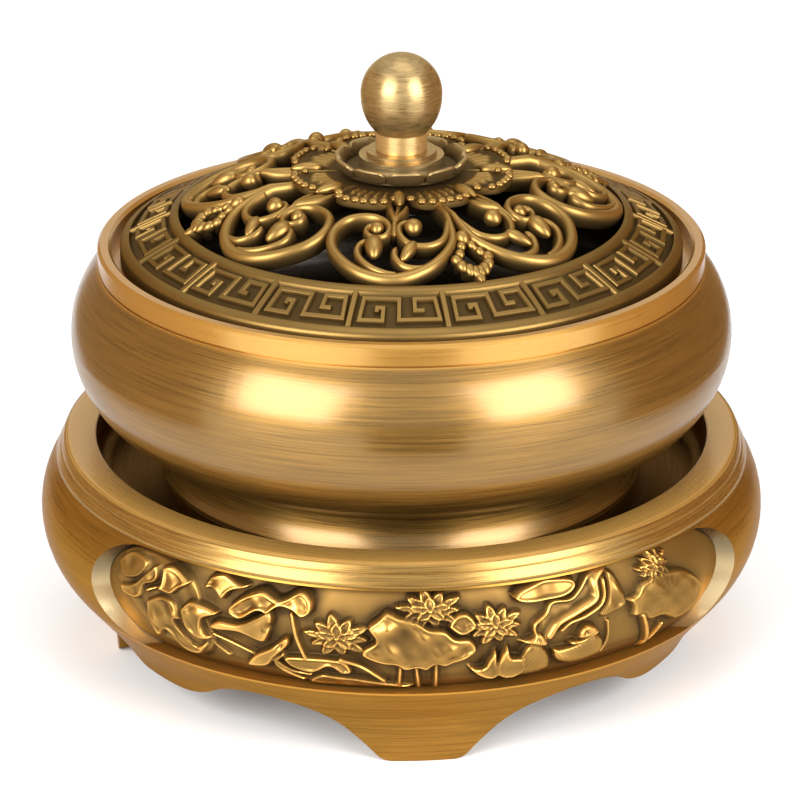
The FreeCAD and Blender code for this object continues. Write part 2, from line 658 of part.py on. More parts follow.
def lotus_cup():
    """Eight-faced cup between the petals and the knob."""
    body = document.addObject("PartDesign::Body", "lotus_cup_blank")
    faces = int(round(size("petal_count")))
    profiles = []
    for name, radius, height in (("foot", "cup_foot", PETAL_TOP), ("edge", "cup_radius", CUP_TOP)):
        corners = []
        for number in range(faces):
            angle = (number + 0.5) * 360.0 / faces
            corners.append(("%s * cos(%g)" % (radius, angle), "%s * sin(%g)" % (radius, angle), None))
        sketch = outline(body, "cup_" + name, "XY_Plane", corners)
        sketch.setExpression("AttachmentOffset.Base.z", bound(height))
        profiles.append(sketch)
    loft = body.newObject("PartDesign::AdditiveLoft", "cup_loft")
    loft.Profile = profiles[0]
    loft.Sections = [profiles[1]]
    loft.Ruled = True
    document.recompute()
    turned(body, "rosette_turn")
    hole = cylinder("cup_hole", "screw_radius + screw_gap", "cup_tall * 3", PETAL_TOP + " - cup_tall")
    cup = document.addObject("Part::Cut", "lotus_cup")
    cup.Base = body
    cup.Tool = hole
    return cup


def knob():
    """Turned knob: two stepped discs, a stem and an egg-shaped ball, with a blind hole below."""
    hole = "screw_radius + screw_gap"
    hole_top = CUP_TOP + " + screw_bite + screw_spare"
    disc_top = CUP_TOP + " + disc_tall"
    step_top = disc_top + " + step_tall"
    return revolved("knob", [
        (hole, CUP_TOP, None),
        ("disc_radius", CUP_TOP, None),
        ("disc_radius", disc_top, None),
        ("step_radius", disc_top, None),
        ("step_radius", step_top, None),
        ("stem_radius", step_top, None),
        ("stem_radius", STEM_TOP, "upright_end"),
        ("ball_radius", BALL_MIDDLE, "about_axis"),
        ("0", BALL_MIDDLE + " + ball_high", None),
        ("0", hole_top, None),
        (hole, hole_top, None),
    ])


def knob_fixing():
    """Screw and washer that clamp the knob, the cup and the petals to the lid's hub."""
    washer_low = "(%s - washer_thick)" % HUB_UNDER
    ring = cylinder("washer_disc", "washer_radius", "washer_thick", washer_low)
    bore = "screw_radius + screw_gap"
    hole = cylinder("washer_hole", bore, "washer_thick * 3", washer_low + " - washer_thick")
    washer = document.addObject("Part::Cut", "knob_washer")
    washer.Base = ring
    washer.Tool = hole
    shank_top = "(%s + screw_bite)" % CUP_TOP
    shank = cylinder("screw_shank", "screw_radius", shank_top + " - " + washer_low, washer_low)
    head = cylinder("screw_head", "head_radius", "head_tall", washer_low + " - head_tall")
    screw = document.addObject("Part::Fuse", "knob_screw")
    screw.Base = shank
    screw.Tool = head
    return [screw, washer]


sub_parts = stand() + [bowl(), fire_mat(), lid(), lotus_petals(), lotus_cup(), knob()] + knob_fixing()
document.recompute()

for item in document.Objects:
    if "Invalid" in item.State or "Error" in item.State:
        raise RuntimeError("failed: " + item.Label)
for part in sub_parts:
    if part.Shape.isNull() or not part.Shape.isValid():
        raise RuntimeError("bad shape: " + part.Label)

os.makedirs("parts", exist_ok=True)
for part in sub_parts:
    part.Shape.exportStep("parts/%s.step" % part.Label)
    print("%-20s solids %d volume %.1f" % (part.Label, len(part.Shape.Solids), part.Shape.Volume))
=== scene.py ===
# Looks of a brass incense burner, built round its CAD frame. +Z is up and the front is at -Y. Tables and
# shapes are in mm, the stage and what Blender gets are in metres.
import math

import bmesh
import bpy
import numpy as np
from bpy.props import FloatProperty, FloatVectorProperty, IntProperty, PointerProperty
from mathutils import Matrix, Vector


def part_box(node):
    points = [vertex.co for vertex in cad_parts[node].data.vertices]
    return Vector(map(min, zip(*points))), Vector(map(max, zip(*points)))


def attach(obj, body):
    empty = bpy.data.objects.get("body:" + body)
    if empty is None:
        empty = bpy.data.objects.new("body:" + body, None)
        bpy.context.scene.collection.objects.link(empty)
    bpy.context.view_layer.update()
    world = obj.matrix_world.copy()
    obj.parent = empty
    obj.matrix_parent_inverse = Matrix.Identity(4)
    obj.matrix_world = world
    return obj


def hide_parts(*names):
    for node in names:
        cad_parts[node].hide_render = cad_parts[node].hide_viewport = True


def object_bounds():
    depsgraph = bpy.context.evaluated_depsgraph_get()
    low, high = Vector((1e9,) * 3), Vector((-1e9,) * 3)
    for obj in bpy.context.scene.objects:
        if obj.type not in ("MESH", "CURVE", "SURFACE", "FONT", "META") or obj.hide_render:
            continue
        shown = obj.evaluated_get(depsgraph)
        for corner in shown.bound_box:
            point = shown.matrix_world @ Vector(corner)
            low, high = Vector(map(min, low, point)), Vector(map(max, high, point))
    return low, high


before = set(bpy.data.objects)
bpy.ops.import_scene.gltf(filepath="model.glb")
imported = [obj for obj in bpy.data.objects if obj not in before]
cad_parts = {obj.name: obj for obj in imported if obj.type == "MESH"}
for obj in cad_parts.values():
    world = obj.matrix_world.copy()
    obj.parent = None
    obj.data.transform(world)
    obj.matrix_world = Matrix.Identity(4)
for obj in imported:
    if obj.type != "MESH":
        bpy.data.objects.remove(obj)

bl_info = {
    "name": "Brass incense burner",
    "version": (1, 0, 0),
    "blender": (4, 5, 0),
    "location": "View3D > Sidebar > Burner",
    "description": "Dresses the burner's frame with its relief, openwork lid and brass finishes",
    "category": "Object",
}

MM = 0.001
CAD_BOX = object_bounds()


def in_mm(corners):
    """The lowest and the highest corner of a box, in mm."""
    return [tuple(value / MM for value in corner) for corner in corners]


LID_LOW, LID_HIGH = in_mm(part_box("lid"))
LID_RADIUS = LID_HIGH[0]
STAND_TOP = in_mm(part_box("base_stand"))[1][2]
PETALS_LOW, PETALS_HIGH = in_mm(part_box("lotus_petals"))
CUP_LOW, CUP_HIGH = in_mm(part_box("lotus_cup"))
PANEL_LOW, PANEL_HIGH = in_mm(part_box("relief_panel_front"))

# Sizes of the solids that their boxes do not give, in mm.
RIM_INNER = 46.35
RIM_OUTER = 51.0
SHOULDER_RADIUS = 52.9
SHOULDER_HEIGHT = 30.3
SCREW_HOLE = 2.1

# Places where one finish, painted highlight or painted shade passes into the next, in mm: the change starts
# at the first and ends at the second.
# The sill's polished lip is lightened between these as a painted highlight.
SILL_HIGHLIGHT_START = (14.3, 14.7)
SILL_HIGHLIGHT_END = (14.95, 15.1)
WINDOW_SILL = (14.8, 15.2)
# Over this height the polished window ends turn darker: painted shade.
WINDOW_SHADE = (19.0, 26.0)
# Inside the dish the brass darkens from the rim down to the floor: painted shadow.
DISH_WALL = (46.0, 46.6)
DISH_FLOOR = (27.8, 28.4)
DISH_SHADE = (30.0, 34.5)
# Inside, between foot and ledge, the bowl is darkened by soot and painted shade.
BOWL_FOOT = (34.0, 34.6)
BOWL_WALL = (42.5, 44.0)
BOWL_LEDGE = (60.5, 62.2)
BOWL_INWARD = (-2.0, 0.5)
# Over this height the bowl's polished collar is lightened as a painted highlight.
COLLAR_FOOT = (60.8, 61.3)
# Between these heights the knob's stem is lightened as painted light.
STEM_FOOT = (78.1, 78.3)
STEM_TOP = (80.6, 81.2)

# Points of a mesh that are closer than this, in mm, become one.
WELD = 0.002
# The range that nearly all of a noise lies in.
NOISE_LOW, NOISE_HIGH = 0.3, 0.7
# A distance in mm beyond anything on the panels.
FAR = 99.0
# Radius in mm at which the relief's outlines are drawn.
RELIEF_RADIUS = 50.0
# Soft waves on the relief's leaves: turn in radians for each mm along and up, start and share.
LEAF_WAVES = [(1.25, 0.6, 0.0, 1.0), (0.8, -1.5, 1.0, 1.0), (2.3, 1.7, 0.0, 0.6)]

# The floor's radius in metres, and the width of the camera's sensor in mm.
FLOOR_RADIUS = 0.55
SENSOR_WIDTH = 36.0
# Softboxes of the stage: place, width and height in metres, and share of their common power.
SOFTBOXES = {
    "softbox_left": ((-0.60, -0.64, 0.44), 0.58, 0.66, 1.0),
    "softbox_right": ((0.57, -0.68, 0.44), 0.55, 0.66, 0.95),
    "softbox_top": ((0.05, 0.12, 0.95), 0.60, 0.45, 0.12),
}
# Cards round the burner: the two ends of the lower edge, the height in metres and the colour.
FLAGS = {
    "flag_left": ((-0.13, -0.07), (-0.13, 0.25), 0.20, (0.46, 0.31, 0.16)),
    "flag_right": ((0.13, -0.07), (0.13, 0.25), 0.20, (0.34, 0.19, 0.065)),
    "flag_front": ((-0.032, -0.135), (0.032, -0.135), 0.06, (0.42, 0.30, 0.18)),
}

# Centre lines of one scroll: angle from the scroll's middle in degrees, way out from the hub (0) to
# the fret ring (1), and width in mm. The next scroll is its mirror image.
MAIN_STEM = [
    (21.7, 0.00, 1.1), (21.3, 0.36, 1.1), (20.3, 0.55, 1.3), (19.2, 0.65, 1.5), (17.2, 0.72, 1.6),
    (14.5, 0.787, 1.7), (11.0, 0.855, 1.9), (7.3, 0.905, 2.0), (3.6, 0.94, 2.1), (-0.2, 0.955, 2.1),
    (-4.2, 0.945, 2.1), (-8.4, 0.914, 2.0), (-12.4, 0.862, 1.9), (-16.1, 0.796, 1.8), (-18.7, 0.732, 1.7),
    (-20.4, 0.656, 1.7), (-20.9, 0.576, 1.6), (-19.7, 0.50, 1.5), (-17.3, 0.45, 1.4), (-13.3, 0.422, 1.3),
    (-8.7, 0.417, 1.3), (-4.6, 0.447, 1.2), (-2.3, 0.494, 1.2), (-1.8, 0.548, 1.1), (-2.6, 0.593, 1.1),
    (-4.5, 0.62, 1.1), (-7.0, 0.619, 1.1), (-9.2, 0.59, 1.0), (-9.9, 0.559, 1.0), (-9.2, 0.523, 1.0),
    (-7.3, 0.506, 0.9),
]
SECOND_STEM = [
    (20.6, 0.46, 0.9), (19.5, 0.52, 1.1), (17.8, 0.594, 1.2), (15.8, 0.647, 1.3), (12.8, 0.681, 1.3),
    (9.8, 0.691, 1.3), (6.0, 0.679, 1.2), (3.3, 0.63, 1.2), (1.8, 0.569, 1.1), (1.5, 0.521, 1.1),
    (2.4, 0.484, 1.0), (4.7, 0.466, 1.0), (7.0, 0.48, 0.9),
]
OUTER_HOOK = [
    (1.5, 0.93, 1.2), (-1.5, 0.918, 1.3), (-5.1, 0.882, 1.3), (-8.2, 0.83, 1.2), (-10.3, 0.771, 1.2),
    (-10.8, 0.715, 1.1), (-10.0, 0.672, 1.0), (-8.4, 0.651, 0.9),
]
INNER_HOOK = [
    (10.5, 0.865, 1.2), (7.4, 0.879, 1.3), (4.2, 0.869, 1.3), (2.2, 0.841, 1.2), (0.7, 0.787, 1.2),
    (0.4, 0.74, 1.1), (1.1, 0.704, 0.8),
]
STALK = [
    (0.0, 0.60, 1.1), (-0.1, 0.497, 1.0), (0.1, 0.40, 0.9), (0.8, 0.28, 0.8), (0.9, 0.10, 0.8),
    (0.9, -0.10, 0.8),
]
LEFT_LEAF = [
    (-0.2, 0.47, 0.8), (-0.5, 0.426, 1.0), (-2.4, 0.295, 1.2), (-4.4, 0.157, 1.0), (-5.2, 0.066, 0.6),
]
RIGHT_LEAF = [(0.0, 0.47, 0.8), (0.8, 0.42, 1.0), (3.2, 0.322, 1.2), (5.6, 0.20, 0.6)]
CROWN_LEG = [
    (22.5, 0.655, 0.8), (21.4, 0.70, 0.9), (20.0, 0.76, 0.9), (18.4, 0.82, 1.0), (18.6, 0.875, 1.0),
]
CROWN_FOOT = [(18.6, 0.875, 0.9), (20.4, 0.915, 1.0), (22.5, 0.93, 1.0), (23.4, 0.93, 0.8)]
CROWN_TIE = [(22.2, 0.92, 1.1), (22.2, 1.02, 1.2)]
# The scroll's ribbons, each group with the growth of its section's height.
RIBBONS = [
    (1.25, [MAIN_STEM]),
    (1.0, [SECOND_STEM, OUTER_HOOK, INNER_HOOK]),
    (0.9, [STALK, LEFT_LEAF, RIGHT_LEAF, CROWN_LEG, CROWN_FOOT, CROWN_TIE]),
]

# Buds on the scrolls: angle, way out, half width, half length and lift in mm, and lean in degrees.
BUDS = [
    (-6.3, 0.53, 0.80, 0.80, 0.05, 0.0),
    (6.8, 0.521, 1.00, 1.00, 0.20, 0.0),
    (-5.9, 0.705, 1.00, 1.75, 0.10, 8.0),
    (4.6, 0.733, 0.72, 1.70, 0.10, -28.0),
    (1.1, 0.135, 0.72, 1.90, 0.90, 4.0),
    (18.0, 0.835, 0.62, 0.75, 0.10, 20.0),
    (18.8, 0.886, 0.62, 0.80, 0.10, 10.0),
    (20.4, 0.920, 0.60, 0.85, 0.12, 0.0),
    (21.8, 0.938, 0.55, 0.85, 0.12, 0.0),
    (20.9, 0.722, 0.50, 0.60, 0.20, 0.0),
    (19.5, 0.785, 0.50, 0.60, 0.20, 0.0),
]
CROWN_TOP = (22.5, 0.652, 0.80, 0.95, 0.25, 0.0)

# Right half of a scroll's section from its top: across in half widths, height in mm from the dome, and share
# of dark patina.
SCROLL_HALF = [
    (0.30, 0.46, 0.0), (0.62, 0.32, 0.0), (0.86, 0.05, 0.12), (0.98, -0.30, 0.45), (1.00, -0.70, 0.85),
    (0.95, -1.50, 1.0), (0.70, -2.10, 1.0),
]
SCROLL_TOP = (0.00, 0.50, 0.0)
# Right half of a fret strip's section: across in mm, height in mm from the borders, and share of dark patina.
FRET_HALF = [(0.25, -0.06, 0.0), (0.37, -0.22, 0.35), (0.42, -0.75, 0.9)]
# The bars between the fret's panels are wider than its keys by this factor.
FRET_BAR_GROWTH = 1.25

# One fret panel's two hooked keys as one line: share across the panel, share from inner to outer edge.
FRET_KEY = [
    (0.269, 0.574), (0.269, 0.441), (0.338, 0.441), (0.338, 0.809), (0.100, 0.809), (0.112, 0.170),
    (0.506, 0.170), (0.506, 0.785), (0.925, 0.785), (0.905, 0.170), (0.675, 0.170), (0.675, 0.515),
    (0.775, 0.515),
]

# Leaves, banks and ducks of the relief. Each outline is in mm: way round the panel from its middle at
# RELIEF_RADIUS, and height over the floor; a curve runs through its points. Dome is the share by which the
# middle stands over the edge, rounding how far in from the edge it still curves, lip the rolled rim and waves
# the depth of the leaf's soft waves. A dimple is its place, reach and depth; veins spread from a place, and
# have a number; feathers have a lean in degrees, a spacing and a depth.
RELIEF_FORMS = {
    "left leaf bed": {
        "height": 0.6, "dome": 0.3, "rounding": 1.2, "lip": 0.15, "waves": 0.15,
        "outline": [
            (-47.6, 24.5), (-46.2, 29.4), (-38.0, 30.0), (-33.2, 28.6), (-30.6, 24.0), (-29.4, 20.2),
            (-32.0, 16.7), (-36.4, 17.0), (-38.6, 17.4), (-43.0, 20.6),
        ],
    },
    "far left leaf": {
        "height": 1.2, "dome": 0.35, "rounding": 2.0, "lip": 0.1, "dimples": [(-44.7, 27.9, 0.9, 0.3)],
        "outline": [
            (-47.4, 27.2), (-45.2, 29.3), (-42.2, 29.3), (-41.2, 28.2), (-42.8, 26.0), (-45.7, 25.3),
        ],
    },
    "left band": {
        "height": 1.3, "dome": 0.3, "rounding": 1.6, "lip": 0.15, "waves": 0.1,
        "outline": [
            (-46.4, 24.2), (-43.5, 25.2), (-41.2, 27.6), (-39.6, 29.0), (-38.9, 27.4), (-39.6, 26.2),
            (-41.2, 25.4), (-41.6, 23.8), (-43.0, 22.8), (-45.4, 22.9),
        ],
    },
    "left folded leaf": {
        "height": 1.6, "dome": 0.2, "rounding": 1.2, "lip": 0.3, "waves": 0.1,
        "outline": [
            (-38.4, 29.3), (-36.5, 29.7), (-33.5, 28.1), (-34.8, 26.9), (-36.0, 25.8), (-38.6, 25.7),
            (-41.0, 24.4), (-40.4, 25.6), (-38.2, 26.6),
        ],
    },
    "left hanging leaf": {
        "height": 1.3, "dome": 0.3, "rounding": 1.5, "lip": 0.18, "waves": 0.16,
        "outline": [
            (-40.7, 23.6), (-38.5, 24.9), (-35.8, 24.9), (-34.4, 22.5), (-35.6, 21.6), (-34.0, 20.0),
            (-32.6, 18.7), (-30.5, 19.6), (-32.2, 16.9), (-35.0, 17.0), (-37.4, 19.4), (-39.4, 17.8),
            (-40.7, 20.5),
        ],
    },
    "fan leaf": {
        "height": 1.7, "dome": 0.4, "rounding": 1.8, "lip": 0.15, "waves": 0.1,
        "outline": [
            (-34.6, 24.2), (-33.0, 25.8), (-30.6, 25.7), (-28.5, 24.8), (-30.6, 23.6), (-30.9, 22.0),
            (-29.6, 20.7), (-31.4, 20.1), (-33.6, 21.2),
        ],
    },
    "trumpet leaf": {
        "height": 1.7, "dome": 0.5, "rounding": 1.6, "lip": 0.1, "dimples": [(-21.0, 24.4, 0.7, 0.5)],
        "outline": [
            (-30.4, 22.7), (-28.6, 24.0), (-25.6, 24.3), (-23.0, 25.8), (-21.2, 26.9), (-20.5, 25.6),
            (-21.2, 22.6), (-22.2, 21.9), (-25.4, 22.7), (-28.8, 22.3),
        ],
    },
    "wavy leaf": {
        "height": 1.8, "dome": 0.15, "rounding": 1.0, "lip": 0.35, "waves": 0.12,
        "outline": [
            (-26.9, 26.6), (-25.1, 28.3), (-22.4, 29.6), (-19.8, 28.8), (-17.1, 30.2), (-15.4, 29.4),
            (-15.2, 27.5), (-16.6, 26.6), (-18.0, 27.4), (-19.7, 27.6), (-21.2, 26.4), (-22.6, 26.6),
            (-24.8, 25.1), (-26.6, 25.5),
        ],
    },
    "top left leaf": {
        "height": 1.5, "dome": 0.3, "rounding": 1.3, "lip": 0.15, "dimples": [(-30.2, 28.9, 0.6, 0.4)],
        "outline": [
            (-31.4, 27.6), (-30.6, 29.6), (-28.4, 30.6), (-26.3, 29.9), (-24.5, 29.2), (-26.9, 28.3),
            (-28.2, 26.9), (-29.8, 28.0),
        ],
    },
    "small leaf": {
        "height": 1.5, "dome": 0.4, "rounding": 1.3, "lip": 0.15, "dimples": [(-19.6, 21.9, 0.6, 0.3)],
        "outline": [
            (-25.4, 17.1), (-23.4, 19.7), (-20.9, 21.5), (-18.8, 23.4), (-18.2, 22.2), (-20.2, 19.7),
            (-21.8, 17.7),
        ],
    },
    "drifting leaf": {
        "height": 1.0, "dome": -0.2, "rounding": 0.8, "lip": 0.4,
        "outline": [
            (-19.6, 19.8), (-17.8, 20.4), (-11.5, 20.5), (-9.9, 18.4), (-11.4, 17.9), (-13.0, 19.0),
            (-15.4, 17.6), (-18.2, 18.3),
        ],
    },
    "bank": {
        "height": 0.9, "dome": 0.3, "rounding": 0.9, "lip": 0.25, "waves": 0.1,
        "outline": [
            (-16.9, 15.5), (-14.6, 17.4), (-12.2, 17.4), (-8.0, 17.0), (-1.5, 15.6), (-5.0, 15.0),
            (-12.0, 15.0),
        ],
    },
    "middle leaf": {
        "height": 1.6, "dome": 0.35, "rounding": 1.8, "lip": 0.22, "waves": 0.1,
        "dimples": [
            (-3.2, 23.5, 1.7, 0.45), (5.2, 22.4, 1.1, 0.4), (-5.4, 25.6, 1.3, -0.3), (-1.3, 22.2, 0.8, -0.2),
            (2.6, 22.4, 1.2, -0.2),
        ],
        "outline": [
            (-6.6, 27.2), (-5.4, 28.1), (-3.6, 27.4), (-1.4, 26.8), (0.2, 25.8), (2.2, 25.4),
            (3.6, 24.2), (5.6, 23.8), (6.5, 22.0), (5.2, 20.7), (3.4, 20.1), (2.2, 19.6), (1.0, 19.9),
            (-0.2, 19.0), (-1.4, 19.4), (-3.0, 19.1), (-4.2, 19.9), (-6.2, 20.2), (-8.6, 21.4),
            (-8.5, 22.6), (-7.0, 23.9), (-8.0, 25.8),
        ],
    },
    "curled leaf": {
        "height": 0.9, "dome": -0.4, "rounding": 1.2, "lip": 0.6,
        "outline": [
            (2.4, 25.7), (3.6, 27.3), (5.4, 27.4), (6.5, 25.5), (4.4, 24.3),
        ],
    },
    "top right leaf": {
        "height": 1.5, "dome": 0.1, "rounding": 1.2, "lip": 0.3, "dimples": [(16.3, 29.4, 1.4, 0.3)],
        "outline": [
            (11.3, 29.0), (12.9, 30.1), (16.7, 30.8), (20.2, 30.3), (20.7, 28.9), (18.7, 27.9),
            (14.3, 27.8), (12.2, 28.2),
        ],
    },
    "streams": {
        "height": 0.7, "dome": 0.3, "rounding": 1.4, "lip": 0.0, "waves": 0.12,
        "outline": [
            (20.4, 27.3), (24.2, 30.3), (25.4, 28.6), (23.8, 25.7), (19.4, 24.6), (16.9, 22.3),
            (14.6, 22.6), (14.8, 24.9), (16.6, 27.0),
        ],
    },
    "right stream": {
        "height": 0.9, "dome": 0.4, "rounding": 1.6, "lip": 0.0, "waves": 0.16,
        "outline": [
            (25.9, 29.9), (27.3, 29.0), (28.8, 24.6), (26.6, 23.6), (24.3, 23.6), (25.6, 26.4),
        ],
    },
    "round leaf": {
        "height": 1.3, "dome": 0.5, "rounding": 3.0, "lip": 0.15, "waves": 0.05,
        "veins": (36.5, 23.4, 13),
        "outline": [
            (28.3, 25.1), (30.2, 25.4), (31.6, 26.6), (35.3, 27.1), (40.3, 25.7), (44.2, 22.0),
            (43.2, 18.8), (39.3, 18.0), (35.6, 20.0), (32.8, 20.4), (31.6, 21.8), (29.8, 22.0),
            (29.6, 23.8),
        ],
    },
    "drake's tail": {
        "height": 1.3, "dome": 0.2, "rounding": 0.8, "lip": 0.3,
        "outline": [
            (5.1, 19.4), (7.2, 18.9), (8.0, 20.4), (9.0, 21.8), (9.4, 19.4), (9.8, 17.2), (8.4, 16.4),
            (6.4, 17.6),
        ],
    },
    "drake's wing": {
        "height": 1.7, "dome": 0.35, "rounding": 1.2, "lip": 0.15, "feathers": (-50, 0.6, 0.03),
        "outline": [
            (9.3, 17.0), (9.1, 19.6), (10.5, 22.3), (11.2, 20.4), (13.0, 19.8), (13.2, 17.2),
            (11.0, 16.2),
        ],
    },
    "drake's body": {
        "height": 1.8, "dome": 0.6, "rounding": 2.4, "lip": 0.0, "feathers": (-35, 0.55, 0.03),
        "outline": [
            (12.0, 19.2), (13.2, 21.6), (15.0, 21.9), (16.6, 19.6), (16.9, 17.4), (15.2, 16.4),
            (12.2, 16.6),
        ],
    },
    "drake's head": {
        "height": 2.0, "dome": 0.5, "rounding": 1.2, "lip": 0.0, "dimples": [(14.6, 22.6, 0.28, 0.25)],
        "outline": [
            (11.9, 22.4), (13.7, 23.0), (15.0, 23.6), (16.2, 21.9), (15.4, 21.2), (13.4, 21.9),
        ],
    },
    "mate's head": {
        "height": 1.8, "dome": 0.5, "rounding": 1.3, "lip": 0.15, "dimples": [(21.6, 22.2, 0.3, 0.3)],
        "outline": [
            (20.3, 21.2), (20.7, 22.6), (21.9, 23.4), (23.5, 22.4), (22.4, 21.3),
        ],
    },
    "mate's body": {
        "height": 1.8, "dome": 0.6, "rounding": 2.2, "lip": 0.0, "feathers": (35, 0.55, 0.03),
        "outline": [
            (16.9, 20.5), (18.6, 20.3), (21.0, 20.8), (23.1, 21.7), (24.7, 20.2), (24.9, 18.0),
            (22.6, 16.9), (19.6, 17.0), (17.4, 18.4),
        ],
    },
}
# Stalks, ribbons and bills of the relief: width and height in mm, and the points they run through.
RELIEF_LINES = [
    (0.70, 1.4, [(-18.1, 26.8), (-17.4, 23.6), (-16.3, 20.5)]),
    (0.75, 1.2, [(-3.6, 19.6), (-3.8, 15.6)]),
    (0.75, 1.2, [(-1.5, 19.2), (-1.1, 15.4)]),
    (0.80, 1.2, [(1.1, 19.6), (1.2, 15.4)]),
    (0.80, 1.4, [(-11.5, 20.5), (-8.6, 19.4), (-5.8, 17.0)]),
    (0.70, 1.3, [(-19.3, 20.3), (-20.5, 18.8), (-19.3, 17.4), (-16.8, 16.2)]),
    (0.60, 1.2, [(-20.8, 19.2), (-18.4, 17.6), (-15.8, 17.2)]),
    (0.50, 1.1, [(-29.6, 21.4), (-26.5, 20.6), (-23.6, 19.6)]),
    (0.45, 0.9, [(-30.0, 20.0), (-27.6, 18.2)]),
    (1.45, 1.9, [(25.6, 30.7), (23.7, 29.2), (23.3, 26.9), (20.5, 25.7), (17.6, 24.6), (16.2, 22.8)]),
    (0.65, 1.4, [
        (24.0, 30.8), (21.2, 28.2), (19.6, 27.3), (17.0, 27.4), (16.0, 26.0), (14.3, 24.6), (14.5, 22.9),
    ]),
    (0.80, 1.5, [(25.1, 28.9), (24.5, 26.0), (21.9, 24.6), (19.4, 24.1), (18.1, 23.2)]),
    (0.75, 1.4, [(31.6, 21.6), (33.0, 18.6), (33.7, 16.6), (33.4, 15.4)]),
    (0.60, 1.1, [(36.2, 18.6), (35.2, 17.0), (34.4, 15.8)]),
    (0.45, 0.9, [(25.6, 22.6), (25.9, 19.7), (25.3, 17.3)]),
    (0.45, 1.6, [(21.0, 21.6), (21.9, 22.7), (22.9, 21.8)]),
    (0.60, 2.0, [(19.6, 20.9), (21.2, 20.9), (23.4, 21.9)]),
]
# Open lotus blossoms of the relief: place, half width, half height and relief height in mm.
RELIEF_BLOSSOMS = [
    (-11.9, 24.0, 4.8, 3.3, 1.8),
    (0.3, 28.1, 4.8, 2.8, 1.9),
    (8.9, 25.3, 4.2, 3.0, 1.8),
    (34.4, 28.2, 3.4, 2.6, 1.8),
]


class BurnerBrass(bpy.types.PropertyGroup):
    """Colours of the brass and of what is not brass."""

    bowl: FloatVectorProperty(
        name="Bowl", description="Brushed brass of the bowl",
        subtype="COLOR", size=3, default=(0.235, 0.126, 0.026))
    stand: FloatVectorProperty(
        name="Stand", description="Satin brass of the stand",
        subtype="COLOR", size=3, default=(0.28, 0.143, 0.027))
    rim: FloatVectorProperty(
        name="Rim", description="Turned rim of the stand",
        subtype="COLOR", size=3, default=(0.32, 0.182, 0.046))
    bright: FloatVectorProperty(
        name="Worn brass", description="Brass on worn edges",
        subtype="COLOR", size=3, default=(0.30, 0.180, 0.053))
    relief: FloatVectorProperty(
        name="Relief", description="Worn brass of the relief",
        subtype="COLOR", size=3, default=(0.35, 0.195, 0.050))
    # Also used as painted shadow in the stand's dish and as painted shade at the relief's edges.
    patina_and_shade: FloatVectorProperty(
        name="Patina", description="Dark brown in the hollows",
        subtype="COLOR", size=3, default=(0.030, 0.017, 0.006))
    # Painted reflection: the polished window ends are given this lighter colour.
    polished_and_painted_reflection: FloatVectorProperty(
        name="Polished", description="Polished ends of the windows",
        subtype="COLOR", size=3, default=(0.66, 0.50, 0.27))
    knob: FloatVectorProperty(
        name="Knob", description="Turned brass of the knob",
        subtype="COLOR", size=3, default=(0.38, 0.265, 0.116))
    # Soot, and painted shade inside the bowl where little light falls.
    soot_and_shade: FloatVectorProperty(
        name="Soot", description="Smoked brass inside the bowl",
        subtype="COLOR", size=3, default=(0.035, 0.024, 0.012))
    steel: FloatVectorProperty(
        name="Steel", description="Screw and washer",
        subtype="COLOR", size=3, default=(0.42, 0.42, 0.43))
    fibre: FloatVectorProperty(
        name="Fibre", description="Fire mat",
        subtype="COLOR", size=3, default=(0.60, 0.57, 0.50))
    roughness: FloatProperty(
        name="Roughness", description="Roughness of the brushed brass",
        subtype="FACTOR", min=0, max=1, default=0.32)


class BurnerLid(bpy.types.PropertyGroup):
    """Sizes of the lid that the frame's boxes do not give."""

    ring_inner: FloatProperty(
        name="Ring", description="Inner radius of the fret ring", unit="LENGTH", default=33.0 * MM)
    hub_radius: FloatProperty(
        name="Hub", description="Radius of the lid's middle", unit="LENGTH", default=11.0 * MM)
    hub_flat: FloatProperty(
        name="Flat", description="Radius of the lid's flat middle", unit="LENGTH", default=20.2 * MM)
    dome_radius: FloatProperty(
        name="Dome", description="Radius of the ring's sphere", unit="LENGTH", default=86.0 * MM)
    edge: FloatProperty(
        name="Edge", description="Height of the upright edge", unit="LENGTH", default=2.5 * MM)
    thickness: FloatProperty(
        name="Thickness", description="Thickness of the dome", unit="LENGTH", default=2.4 * MM)
    border: FloatProperty(
        name="Border", description="Plain border beside the fret", unit="LENGTH", default=1.45 * MM)
    fret_depth: FloatProperty(
        name="Fret depth", description="Depth of the fret", unit="LENGTH", default=0.7 * MM)
    fret_panels: IntProperty(name="Fret panels", description="Number of fret panels", default=18)
    scroll_pairs: IntProperty(name="Scroll pairs", description="Mirrored pairs of scrolls", default=4)
    scroll_turn: FloatProperty(
        name="Scroll turn", description="Turn of the scrolls from the front",
        subtype="ANGLE", default=math.radians(-6.5))
    fret_turn: FloatProperty(
        name="Fret turn", description="Turn of the fret from the front",
        subtype="ANGLE", default=math.radians(-4.6))
    rosette_turn: FloatProperty(
        name="Rosette turn", description="Turn of the petals from the front",
        subtype="ANGLE", default=math.radians(-3.2))
    petals: IntProperty(name="Petals", description="Number of petals", default=8)
    cup_petals: IntProperty(
        name="Cup petals", description="Number of upright petals round the knob", default=10)
    petal_root: FloatProperty(
        name="Petal root", description="Radius of the clefts between petals",
        unit="LENGTH", default=9.8 * MM)
    bud_growth: FloatProperty(
        name="Buds", description="Growth of the modelled buds", subtype="FACTOR", default=1.3)


